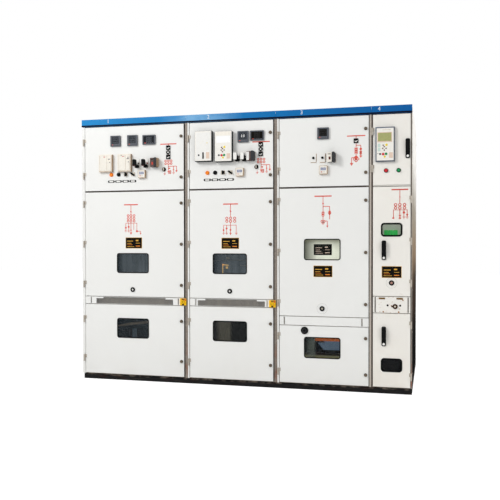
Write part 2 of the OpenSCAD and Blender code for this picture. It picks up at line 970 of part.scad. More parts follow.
module cable_door_fittings(k) {
    color(dark_plastic) {
        window_rim(CABLE, k);
        door_knuckles(CABLE, k);
        if (is_narrow(k)) narrow_handle(CABLE);
        else locks(CABLE, k);
        if (k == 2) round_cap(k);
    }
}

// Instrument doors

module instrument_doors() {
    for (k = [0:last]) door_leaf(INSTRUMENT, k);
}

// Instruments stand in rows across the doors. The width that a row's pieces leave free is shared out among
// the gaps before, between and after them, in the proportions listed.
function total(list, n) = n <= 0 ? 0 : list[n - 1] + total(list, n - 1);
function across(low, high, widths, gaps) =
    let (spare = high - low - total(widths, len(widths)))
    [for (i = [0:len(widths) - 1])
        low + spare * total(gaps, i + 1) / total(gaps, len(gaps)) + total(widths, i) + widths[i] / 2];
function door_row(k, widths, gaps) =
    across(left_of(k) + door_left(k), left_of(k) + door_right(k), widths, gaps);

// Sizes of the instruments
display_size = [120, 84];
flat_relay_size = [130, 157];
flat_relay_out = 24;
tall_relay_size = [150, 263];
narrow_relay_size = [154, 280];
plate_size = [56, 78];
broad_size = [72, 84];
small_plate_w = 52;
lamp_size = [70, 72];
lamp_out = 22;
position_side = 38;
position_out = 6;
bezel_r = 18;
bezel_w = 2 * bezel_r;

// Levels of the rows above the doors' low edges
meter_rise = [441, 436, 437];
display_rise = 442;
flat_relay_rise = 244;
tall_relay_rise = [362.5, 354.5];
narrow_relay_rise = 328;
switch_rise = [238, 268, 236];
button_rise = [142, 136];
narrow_button_rise = 117;
lamp_rise = [141, 135, 134];
key_rise = 177;
position_rise = 367;
position_pitch = 41;

// Middles of the pieces along each row
meters_1_x = door_row(0, [meter_side, meter_side, display_size[0]], [255, 67, 50, 262]);
relays_1_x = door_row(
    0,
    [flat_relay_size[0], flat_relay_size[0], plate_size[0], plate_size[0], broad_size[0], position_side],
    [146, 51, 17, 28, 30, 68, 124]
);
buttons_1_x = door_row(
    0, [bezel_w, bezel_w, bezel_w, bezel_w, lamp_size[0], bezel_w], [241, 35, 31, 34, 37, 153, 165]
);
relays_2_x = door_row(
    1, [tall_relay_size[0], tall_relay_size[0], meter_side, display_size[0]], [64, 31, 42, 15, 78]
);
switches_2_x = across(
    relays_2_x[1] + tall_relay_size[0] / 2,
    left_of(1) + door_right(1),
    [plate_size[0], plate_size[0], broad_size[0], position_side],
    [4, 6, 4, 27, 88]
);
buttons_2_x = door_row(
    1, [bezel_w, bezel_w, bezel_w, bezel_w, lamp_size[0], bezel_w], [146, 34, 32, 33, 33, 91, 127]
);
meters_3_x = door_row(2, [meter_side], [324, 326]);
switches_3_x = door_row(2, [small_plate_w, small_plate_w, broad_size[0]], [264, 24, 15, 267]);
positions_3_x = door_row(2, [position_side], [624, 84]);
lamps_3_x = door_row(2, [lamp_size[0]], [340, 336]);
relays_4_x = door_row(3, [narrow_relay_size[0], handle_w], [21, 84, 4]);
buttons_4_x = door_row(3, [bezel_w, bezel_w], [87, 64, 76]);

module instrument_door_fittings() {
    color(dark_plastic) for (k = [0:last]) {
        door_knuckles(INSTRUMENT, k);
        if (is_narrow(k)) swing_handle(relays_4_x[1], instrument_z + instrument_handle_rise);
        else locks(INSTRUMENT, k);
    }
}
instrument_handle_rise = 292;

// A cased instrument with a sunk face
case_r = 3;
face_r = 1.5;
module cased(x, rise, size, out, border, sink) {
    at = [x, instrument_z + rise];
    difference() {
        upright(face_y - out, out) translate(at) rounded(size, case_r);
        upright(face_y - out - 1, sink + 1) translate(at)
            rounded([size[0] - 2 * border, size[1] - 2 * border], face_r);
    }
}

meter_border = 9;
meter_sink = 3;
module meter(x, rise, size) {
    cased(x, rise, size, meter_out, meter_border, meter_sink);
}

module meters() {
    square_size = [meter_side, meter_side];
    color(slate) {
        for (i = [0, 1]) meter(meters_1_x[i], meter_rise[0], square_size);
        meter(meters_1_x[2], display_rise, display_size);
        meter(relays_2_x[2], meter_rise[1], square_size);
        meter(relays_2_x[3], display_rise, display_size);
        meter(meters_3_x[0], meter_rise[2], square_size);
    }
}

relay_border = 8;
relay_sink = 2;
module relay(x, rise, size, out) {
    cased(x, rise, size, out, relay_border, relay_sink);
}

module relays() {
    color(relay_beige) {
        for (i = [0, 1]) {
            relay(relays_1_x[i], flat_relay_rise, flat_relay_size, flat_relay_out);
            relay(relays_2_x[i], tall_relay_rise[i], tall_relay_size, relay_out);
        }
        relay(relays_4_x[0], narrow_relay_rise, narrow_relay_size, flat_relay_out);
    }
}

// Control switches: a legend plate with a stop block low on one side, a neck and a pistol grip
plate_out = 4;
plate_r = 5;
neck_r = 15;
grip_size = [30, 60];
grip_d = 26;
grip_r = 9;
foot_size = [36, 26];
foot_at = [9, -29];
foot_out = 24;
module control_switch(x, rise) {
    at = [x, instrument_z + rise];
    upright(face_y - plate_out, plate_out) translate(at) rounded(plate_size, plate_r);
    boss(at[0], at[1], neck_r, grip_out - grip_d / 2);
    upright(face_y - grip_out, grip_d) translate(at) rounded(grip_size, grip_r);
    upright(face_y - foot_out, foot_out) translate(at + foot_at) rounded(foot_size, grip_r);
}

// The broad switch at the end of a row: a raised face on the left and a full-depth grip on the right
face_size = [42, 80];
face_in = -14;
face_out = 40;
broad_grip_size = [27, 84];
broad_grip_in = 21;
broad_grip_r = 11;
module broad_switch(x, rise) {
    at = [x, instrument_z + rise];
    upright(face_y - plate_out, plate_out) translate(at) rounded(broad_size, plate_r);
    upright(face_y - face_out, face_out) translate(at + [face_in, 0]) rounded(face_size, plate_r);
    upright(face_y - grip_out, grip_out) translate(at + [broad_grip_in, 0])
        rounded(broad_grip_size, broad_grip_r);
}

// A switch plate with a plain turning button
plate_button_r = 10;
plate_button_out = 12;
module plate_button(x, rise) {
    at = [x, instrument_z + rise];
    upright(face_y - plate_out, plate_out) translate(at) rounded([small_plate_w, plate_size[1]], plate_r);
    boss(at[0], at[1], plate_button_r, plate_button_out);
}

module control_switches() {
    color(dark_plastic) {
        for (i = [0, 1]) {
            control_switch(relays_1_x[2 + i], switch_rise[0]);
            control_switch(switches_2_x[i], switch_rise[1]);
            plate_button(switches_3_x[i], switch_rise[2]);
        }
        broad_switch(relays_1_x[4], switch_rise[0]);
        broad_switch(switches_2_x[2], switch_rise[1]);
        broad_switch(switches_3_x[2], switch_rise[2]);
    }
}

// Push buttons and turning selectors, each with a bezel
bezel_out = 5;
button_r = 13;
button_out = 13;
dial_out = 9;
selector_w = 9;
selector_out = 20;
half_knob_r = 17;
leaf_knob = [42, 15];
leaf_turn = -35;
module push_button(x, rise) {
    boss(x, instrument_z + rise, bezel_r, bezel_out);
    boss(x, instrument_z + rise, button_r, button_out);
}

module selector(x, rise) {
    boss(x, instrument_z + rise, bezel_r, bezel_out);
    boss(x, instrument_z + rise, button_r, dial_out);
    upright(face_y - selector_out, selector_out) translate([x, instrument_z + rise])
        rounded([selector_w, 2 * button_r], selector_w / 3);
}

// A selector with a half-round knob
module half_selector(x, rise) {
    boss(x, instrument_z + rise, bezel_r, bezel_out);
    upright(face_y - selector_out, selector_out) translate([x, instrument_z + rise]) difference() {
        circle(half_knob_r);
        translate([-2 * half_knob_r - selector_w / 2, -2 * half_knob_r])
            square([2 * half_knob_r, 4 * half_knob_r]);
    }
}

// A selector with a long knob turned to one side
module leaf_selector(x, rise) {
    boss(x, instrument_z + rise, bezel_r, bezel_out);
    upright(face_y - selector_out, selector_out) translate([x, instrument_z + rise]) rotate(leaf_turn)
        rounded(leaf_knob, leaf_knob[1] / 3);
}

module push_buttons() {
    color(dark_plastic) {
        for (i = [0, 1]) {
            push_button(buttons_1_x[i], button_rise[0]);
            push_button(buttons_2_x[i], button_rise[1]);
            push_button(buttons_4_x[i], narrow_button_rise);
        }
        half_selector(buttons_1_x[2], button_rise[0]);
        half_selector(buttons_2_x[2], button_rise[1]);
        leaf_selector(buttons_1_x[3], button_rise[0]);
        leaf_selector(buttons_2_x[3], button_rise[1]);
        selector(buttons_1_x[5], key_rise);
        selector(buttons_2_x[5], key_rise);
    }
}

// Voltage indicators and the position indicators of the mimic diagrams
lamp_border = 10;
position_border = 4;
module lamp(x, rise) {
    cased(x, rise, lamp_size, lamp_out, lamp_border, relay_sink);
}

module position_indicator(x, rise) {
    cased(x, rise, [position_side, position_side], position_out, position_border, relay_sink);
}

module indicators() {
    color(relay_beige) {
        lamp(buttons_1_x[4], lamp_rise[0]);
        lamp(buttons_2_x[4], lamp_rise[1]);
        lamp(lamps_3_x[0], lamp_rise[2]);
        for (i = [0:2]) {
            position_indicator(relays_1_x[5], position_rise - i * position_pitch);
            position_indicator(switches_2_x[3], position_rise - i * position_pitch);
        }
        position_indicator(positions_3_x[0], position_rise);
    }
}

base_rails();
base_cross_members();
end_walls();
dividing_walls();
front_posts();
rear_posts();
hinge_posts();
cross_rails();
vent_strips();
plain_strips();
header_fascias();
roof_plates();
relief_flaps();
floor_plates();
shelves();
compartment_backs();
rear_covers();
interlocks();
hinge_pins();
breaker_trucks();
transformer_truck();
contactor_truck();
fuse_carriers();
current_transformers();
transformer_rails();
cable_fittings();
instrument_doors();
meters();
relays();
control_switches();
push_buttons();
indicators();
instrument_door_fittings();
truck_door(0);  // truck_door_1
truck_window(0);  // truck_window_1
truck_door_fittings(0);  // truck_door_fittings_1
truck_door(1);  // truck_door_2
truck_window(1);  // truck_window_2
truck_door_fittings(1);  // truck_door_fittings_2
truck_door(2);  // truck_door_3
truck_window(2);  // truck_window_3
truck_door_fittings(2);  // truck_door_fittings_3
truck_door(3);  // truck_door_4
truck_window(3);  // truck_window_4
truck_door_fittings(3);  // truck_door_fittings_4
cable_door(0);  // cable_door_1
cable_window(0);  // cable_window_1
cable_door_fittings(0);  // cable_door_fittings_1
cable_door(1);  // cable_door_2
cable_window(1);  // cable_window_2
cable_door_fittings(1);  // cable_door_fittings_2
cable_door(2);  // cable_door_3
cable_window(2);  // cable_window_3
cable_door_fittings(2);  // cable_door_fittings_3
cable_door(3);  // cable_door_4
cable_window(3);  // cable_window_4
cable_door_fittings(3);  // cable_door_fittings_4
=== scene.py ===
"""Dresses a four-panel switchgear line-up in paint, sheet and glass, with its instruments and diagrams."""

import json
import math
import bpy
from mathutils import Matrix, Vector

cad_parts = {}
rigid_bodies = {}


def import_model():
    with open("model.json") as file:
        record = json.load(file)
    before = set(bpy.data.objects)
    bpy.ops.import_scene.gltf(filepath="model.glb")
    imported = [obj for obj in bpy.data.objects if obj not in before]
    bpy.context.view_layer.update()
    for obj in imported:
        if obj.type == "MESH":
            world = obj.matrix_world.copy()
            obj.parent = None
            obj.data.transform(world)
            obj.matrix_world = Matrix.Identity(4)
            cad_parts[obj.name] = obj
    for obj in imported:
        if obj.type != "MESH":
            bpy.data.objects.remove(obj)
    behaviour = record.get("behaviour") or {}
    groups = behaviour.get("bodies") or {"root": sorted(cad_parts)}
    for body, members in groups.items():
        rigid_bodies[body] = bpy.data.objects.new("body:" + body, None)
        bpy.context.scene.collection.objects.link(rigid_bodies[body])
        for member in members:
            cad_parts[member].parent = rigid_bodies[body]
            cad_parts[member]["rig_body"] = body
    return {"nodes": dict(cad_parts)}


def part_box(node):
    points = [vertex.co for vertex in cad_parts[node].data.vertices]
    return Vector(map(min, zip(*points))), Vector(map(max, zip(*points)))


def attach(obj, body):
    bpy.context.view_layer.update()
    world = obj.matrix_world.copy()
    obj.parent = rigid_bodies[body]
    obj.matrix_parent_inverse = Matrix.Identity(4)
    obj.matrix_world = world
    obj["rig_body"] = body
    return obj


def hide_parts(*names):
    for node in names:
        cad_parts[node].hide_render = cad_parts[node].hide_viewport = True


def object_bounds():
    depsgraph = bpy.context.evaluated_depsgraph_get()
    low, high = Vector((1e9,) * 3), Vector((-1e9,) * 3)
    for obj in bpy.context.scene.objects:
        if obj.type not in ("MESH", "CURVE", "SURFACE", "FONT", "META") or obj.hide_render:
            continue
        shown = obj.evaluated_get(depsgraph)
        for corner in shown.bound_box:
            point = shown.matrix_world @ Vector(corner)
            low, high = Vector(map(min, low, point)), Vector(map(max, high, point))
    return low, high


bl_info = {
    "name": "Switchgear Line-up",
    "version": (1, 0, 0),
    "blender": (4, 5, 0),
    "location": "View3D > Sidebar > Switchgear",
    "description": "Dresses a line-up of medium-voltage switchgear panels",
    "category": "Object",
}

import bmesh
import bpy
from mathutils import Matrix, Vector

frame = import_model()
CAD_BOX = [list(corner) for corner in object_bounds()]

NODES = frame["nodes"]
HOUSING = "housing"
MM = 0.001
MERGE = 1e-6
FLAT_ANGLE = math.radians(0.5)
EDGE_ANGLE = math.radians(30)
SMOOTH_ANGLE = math.radians(40)
BEVEL_STEPS = 2
FACE_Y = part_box("truck_door_1")[0].y

# The photograph's camera, in the part's frame
IMAGE_PX = 500
FOCAL_PX = 703.37
SENSOR = 36.0
CAMERA_AT = Vector((1.6128, -6.5362, 1.2503))
CAMERA_YAW = -0.2524
CAMERA_PITCH = -0.0125
CAMERA_ROLL = -0.0012


# Finishes

def tint(code):
    """A linear colour from a written sRGB code."""
    parts = [int(code[i:i + 2], 16) / 255 for i in (0, 2, 4)]
    return tuple(c / 12.92 if c <= 0.04045 else ((c + 0.055) / 1.055) ** 2.4 for c in parts) + (1.0,)


def shade(colour, share):
    """The colour made darker or lighter by a share of itself."""
    return tuple(min(1.0, c * share) for c in colour[:3]) + (1.0,)


FINISHES = {}
GLOSS = 0.3
DULL_GLOSS = 0.12
BLACK_GLOSS = 0.05
# Linear brightness below which a colour counts as black
BLACK_BELOW = 0.06
# Range in which most of a noise texture's values lie
NOISE_SPAN = (0.3, 0.7)
# Stretch of a noise texture into upright patches
UPRIGHT = (1.0, 1.0, 0.5)

# Heights in metres between which grime, rust and dust fade in, and out again where there are four
GRIME_Z = (0.55, 0.05)
RUST_Z = (0.5, 0.05)
DUST_Z = (0.030, 0.044)
SPECK_Z = (0.60, 0.67, 0.79, 0.86)
END_RUST_Z = (0.50, 0.70, 0.75, 0.95)

# Colours of the end sheets, dark at the foot and pale at the top, partly painted reflection and shade and
# partly grime, each with the heights in metres over which it takes over
END_SHADE_AND_GRIME_FOOT = "1B1A1A"
END_REFLECTION_AND_GRIME_TONES = (
    (0.40, 0.90, "403933"), (0.90, 1.15, "96806A"), (1.15, 1.45, "A2998B"), (1.50, 1.95, "ECE9E4"),
)
END_STREAK = 0.14

# Light and shade behind the windows, in metres off a panel's left edge and above the floor
LIT_SHADOW_X = (0.215, 0.335)
LIT_SHADOW_Z = (1.225, 1.262)
SLATE_SHADOW_X = (0.283, 0.200)
SLATE_FADE = 0.055
BAR_LIT_X = (0.285, 0.305)
BRACE_X = 0.217
# Slope of each edge of the brace's light, its height at the left end and the side that is lit
BRACE_EDGES = ((0.125, 0.446, 1), (0.228, 0.461, -1))
BRACE_BLUR = 0.004

# The header's blue is a painted reflection: it goes from a light blue to a deeper one along its length and is
# lighter in cloudy patches round one place
HEADER_REFLECTION_RAMP_X = (-1.45, 1.45)
HEADER_REFLECTION_X = -0.36
HEADER_REFLECTION_REACH = (0.42, 0.08)


def add_node(tree, kind, inputs=(), **settings):
    """A new node with its settings, its inputs linked to sockets or given plain values."""
    node = tree.nodes.new(kind)
    for key, value in settings.items():
        setattr(node, key, value)
    for key, value in dict(inputs).items():
        socket = node.inputs[key]
        if isinstance(value, bpy.types.NodeSocket):
            tree.links.new(value, socket)
        else:
            socket.default_value = value
    return node


class Finish:
    """A procedural material, with short calls for the nodes that the finishes share."""

    def __init__(self, name, roughness=0.5, metallic=0.0, gloss=None):
        self.material = bpy.data.materials.new(name)
        self.material.use_nodes = True
        self.tree = self.material.node_tree
        self.shader = self.tree.nodes["Principled BSDF"]
        self.fix("Roughness", roughness)
        self.fix("Metallic", metallic)
        if gloss is not None:
            self.fix("Specular IOR Level", gloss)
        self.place = self.add("TexCoord").outputs["Object"]
        apart = self.add("SeparateXYZ", {"Vector": self.place})
        self.x = apart.outputs["X"]
        self.z = apart.outputs["Z"]

    def fix(self, socket, value):
        """Gives one of the shader's inputs a plain value."""
        self.shader.inputs[socket].default_value = value

    def put(self, socket, value):
        """Leads a node's output to one of the shader's inputs."""
        self.tree.links.new(value, self.shader.inputs[socket])

    def add(self, kind, inputs=(), **settings):
        return add_node(self.tree, "ShaderNode" + kind, inputs, **settings)

    def work(self, operation, *values):
        return self.add("Math", dict(enumerate(values)), operation=operation).outputs[0]

    def times(self, first, second):
        return self.work("MULTIPLY", first, second)

    def mix(self, share, first, second):
        return self.add("Mix", {0: share, 6: first, 7: second}, data_type="RGBA").outputs[2]

    def span(self, value, start, end, low=0.0, high=1.0):
        ends = {"Value": value, "From Min": start, "From Max": end, "To Min": low, "To Max": high}
        return self.add("MapRange", ends).outputs[0]

    def across(self, panel, start, end):
        """Rises from nought to one between two places off a panel's left edge."""
        return self.span(self.x, LEFT[panel] + start, LEFT[panel] + end)

    def band(self, low, start, end, high):
        """One between the heights start and end, and nought below low and above high."""
        return self.times(self.span(self.z, low, start), self.span(self.z, high, end))

    def noise(self, scale, detail=3.0, stretch=None):
        place = self.place
        if stretch:
            place = self.add("Mapping", {"Vector": place, "Scale": stretch}).outputs[0]
        return self.add("TexNoise", {"Vector": place, "Scale": scale, "Detail": detail}).outputs[0]

    def patches(self, scale, detail, ends, share, stretch=None):
        """Patches of noise that rise to a share between two of its values."""
        return self.span(self.noise(scale, detail, stretch), *ends, 0.0, share)

    def uneven(self, scale, detail, low, high, stretch=None):
        """Noise spread over the range from low to high."""
        return self.span(self.noise(scale, detail, stretch), *NOISE_SPAN, low, high)

    def mottle(self, colour, spread, scale):
        """A colour that wanders between a darker and a lighter tone."""
        share = self.uneven(scale, 4.0, 0.0, 1.0)
        return self.mix(share, shade(colour, 1 - spread), shade(colour, 1 + spread))

    def lit(self, colour, strength):
        """A colour that gives off a share of itself, a painted glow."""
        self.put("Base Color", colour)
        self.put("Emission Color", colour)
        self.fix("Emission Strength", strength)

    def bump(self, value, strength, distance=0.0005):
        node = self.add("Bump", {"Strength": strength, "Distance": distance, "Height": value})
        self.put("Normal", node.outputs[0])


def moulded(name, code, rough, spread, grain, bump):
    """A small part's finish: mottled colour, uneven gloss and a fine grain."""
    colour = tint(code)
    gloss = BLACK_GLOSS if max(colour[:3]) < BLACK_BELOW else GLOSS
    f = Finish(name, metallic=METAL_SHARE.get(name, 0.0), gloss=gloss)
    f.put("Base Color", f.mottle(colour, spread, 60.0))
    fine = f.noise(grain, 2.0)
    f.put("Roughness", f.span(fine, *NOISE_SPAN, *rough))
    f.bump(fine, bump, 0.0002)
    f.fix("Coat Weight", CLEAR_COAT.get(name, 0.0))
    # Painted glow for the pieces behind the windows
    if name in GLOW:
        f.fix("Emission Color", colour)
        f.fix("Emission Strength", GLOW[name])
    return f.material


def door_paint(name, code, grime_code, grime, specks=0.0):
    """Powder paint with a slight orange peel, faint shading, grime towards the floor and rust specks."""
    f = Finish(name, gloss=GLOSS)
    colour = f.mottle(tint(code), 0.010, 1.7)
    colour = f.mix(f.patches(9.0, 6.0, (0.56, 0.8), grime), colour, tint(grime_code))
    splash = f.patches(5.0, 5.0, (0.35, 0.75), 2.5 * grime, UPRIGHT)
    colour = f.mix(f.times(f.span(f.z, *GRIME_Z), splash), colour, tint(grime_code))
    if specks:
        spots = f.patches(70.0, 3.0, (0.64, 0.72), specks)
        colour = f.mix(f.times(f.band(*SPECK_Z), spots), colour, tint("A8703F"))
    f.put("Base Color", colour)
    f.put("Roughness", f.uneven(22.0, 5.0, 0.34, 0.46))
    f.bump(f.noise(330.0, 2.0), 0.09, 0.0004)
    return f.material


def bare_sheet(name, code, rust, metal=0.72):
    """Zinc-coated sheet with a spangle, dull streaks and rust that climbs from the feet."""
    f = Finish(name)
    cells = f.add("TexVoronoi", {"Vector": f.place, "Scale": 85.0})
    spangle = f.add("SeparateXYZ", {"Vector": cells.outputs["Color"]})
    base = tint(code)
    colour = f.mix(f.span(spangle.outputs["X"], 0.0, 1.0), shade(base, 0.82), shade(base, 1.16))
    streak = f.patches(6.0, 6.0, (0.45, 0.75), 0.6, (3.0, 3.0, 0.25))
    colour = f.mix(streak, colour, tint("5F574D"))
    rusty = f.times(f.span(f.z, *RUST_Z), f.patches(26.0, 8.0, (0.46, 0.62), rust, UPRIGHT))
    f.put("Base Color", f.mix(rusty, colour, f.mottle(tint("7A4326"), 0.3, 90.0)))
    f.put("Metallic", f.span(rusty, 0.0, 0.5, metal, 0.0))
    f.put("Roughness", f.span(spangle.outputs["Y"], 0.0, 1.0, 0.36, 0.56))
    f.bump(f.noise(240.0, 3.0), 0.06)
    return f.material


def end_sheet(name):
    """Dull end sheet, dark at the foot and pale at the top in streaks, partly painted reflection and shade
    and partly grime, with rust that climbs from the floor.
    """
    f = Finish(name, roughness=0.8, gloss=0.0)
    streak = f.uneven(7.0, 6.0, -END_STREAK, END_STREAK, (1.0, 1.0, 0.12))
    height = f.work("ADD", f.z, streak)
    # Painted reflection and shade mixed with grime: dark at the foot and lighter band by band up to the pale
    # top
    colour = f.mottle(tint(END_SHADE_AND_GRIME_FOOT), 0.3, 40.0)
    for low, high, code in END_REFLECTION_AND_GRIME_TONES:
        colour = f.mix(f.span(height, low, high), colour, f.mottle(tint(code), 0.08, 12.0))
    rust = f.times(f.band(*END_RUST_Z), f.patches(9.0, 7.0, (0.46, 0.64), 0.6, UPRIGHT))
    f.put("Base Color", f.mix(rust, colour, f.mottle(tint("5E4231"), 0.3, 60.0)))
    f.bump(f.noise(240.0, 3.0), 0.06)
    return f.material


def lit_front(name):
    """Pale truck front in its lit bay, in shadow towards the left and the top."""
    f = Finish(name, roughness=0.45)
    colour = f.mix(f.across(2, *LIT_SHADOW_X), tint("35362A"), f.mottle(tint("D6D9C9"), 0.06, 9.0))
    colour = f.mix(f.span(f.z, *LIT_SHADOW_Z, 0.0, 0.75), colour, tint("6A6A50"))
    f.lit(colour, 0.45)
    f.bump(f.noise(330.0, 2.0), 0.05)
    return f.material


def slate_front(name, panel):
    """Slate truck front in a dim bay, with a painted shadow that makes it near black at the left edge of its
    window, and a painted glow.
    """
    f = Finish(name, gloss=DULL_GLOSS)
    streak = f.uneven(34.0, 3.0, 0.0, 1.0, (1.0, 1.0, 0.05))
    colour = f.mix(streak, tint("585F64"), tint("727A7F"))
    # Painted shadow: near black at the left edge of the window
    start = SLATE_SHADOW_X[panel]
    colour = f.mix(f.across(panel, start, start + SLATE_FADE), tint("101316"), colour)
    f.lit(colour, 0.5)
    f.bump(f.noise(330.0, 2.0), 0.05)
    return f.material


def slanted_brace(name):
    """Beige brace in panel 1's cable bay, lit between two slanting edges and dark outside them."""
    f = Finish(name)
    along = f.work("SUBTRACT", f.x, LEFT[0] + BRACE_X)
    share = 1.0
    for slope, start, side in BRACE_EDGES:
        above = f.work("SUBTRACT", f.z, f.work("MULTIPLY_ADD", along, slope, start))
        share = f.times(share, f.span(above, -BRACE_BLUR * side, BRACE_BLUR * side))
    f.lit(f.mix(share, tint("1B2023"), f.mottle(tint("B9A68C"), 0.1, 60.0)), 0.12)
    return f.material


def lit_bar(name):
    """Orange bar across panel 3's cable bay, in painted shade at its left end and with a painted glow."""
    f = Finish(name, roughness=0.45)
    colour = f.mix(f.across(2, *BAR_LIT_X), tint("15181A"), f.mottle(tint("C8662C"), 0.15, 60.0))
    f.lit(colour, 0.5)
    return f.material


def base_paint(name):
    """Black base paint, scuffed to bare metal along its length, rusty, with dust along the top edge."""
    f = Finish(name, gloss=DULL_GLOSS)
    colour = f.mottle(tint("111112"), 0.35, 11.0)
    scuff = f.patches(34.0, 7.0, (0.62, 0.76), 0.45, (0.22, 1.0, 2.6))
    colour = f.mix(scuff, colour, tint("59554E"))
    rust = f.patches(17.0, 8.0, (0.52, 0.7), 0.6, (0.5, 1.0, 1.6))
    colour = f.mix(rust, colour, tint("2E1A14"))
    dust = f.patches(30.0, 6.0, (0.48, 0.66), 0.7, (0.5, 1.0, 1.0))
    f.put("Base Color", f.mix(f.times(f.span(f.z, *DUST_Z), dust), colour, tint("97897B")))
    f.put("Roughness", f.uneven(48.0, 4.0, 0.42, 0.72))
    f.bump(f.noise(170.0, 5.0), 0.3)
    return f.material


def header_paint(name):
    """Blue satin paint with a painted reflection: light at one end and deeper along the header, and cloudy
    and lighter round one place.
    """
    f = Finish(name, gloss=DULL_GLOSS)
    # Painted reflection: light blue at the left end, deeper towards the right
    colour = f.mix(f.span(f.x, *HEADER_REFLECTION_RAMP_X), tint("1486C8"), tint("085A9E"))
    cloud = f.patches(3.4, 5.0, (0.38, 0.68), 1.0, (1.0, 1.0, 2.0))
    reach = f.work("ABSOLUTE", f.work("SUBTRACT", f.x, HEADER_REFLECTION_X))
    # Painted reflection: lighter cloudy patches round one place
    reflected_patches = f.times(cloud, f.span(reach, *HEADER_REFLECTION_REACH, 0.0, 0.7))
    colour = f.mix(reflected_patches, colour, tint("8CC0E6"))
    f.put("Base Color", f.mix(f.patches(75.0, 5.0, (0.5, 0.8), 0.12), colour, tint("0A3F78")))
    f.put("Roughness", f.uneven(30.0, 4.0, 0.28, 0.42))
    f.bump(f.noise(330.0, 2.0), 0.06, 0.0004)
    return f.material


def window_glass(name, code, alpha):
    """A tinted pane with a faint film of dust, and on some a haze over part of its width, which on panel 3's
    cable window is painted light from the bay's lit side wall.
    """
    f = Finish(name, gloss=DULL_GLOSS)
    colour = f.mottle(tint(code), 0.12, 7.0)
    cover = f.uneven(5.0, 5.0, alpha - 0.04, alpha + 0.04)
    if name in HAZE:
        panel, start, end, haze_code = HAZE[name]
        hazed = f.times(f.across(panel, start, start + 0.05), f.across(panel, end, end - 0.025))
        colour = f.mix(hazed, colour, tint(haze_code))
        cover = f.work("MULTIPLY_ADD", hazed, 0.28, cover)
    f.put("Base Color", colour)
    f.put("Alpha", cover)
    f.put("Roughness", f.span(f.noise(60.0, 4.0), 0.4, 0.8, 0.04, 0.12))
    f.material.surface_render_method = "BLENDED"
    return f.material


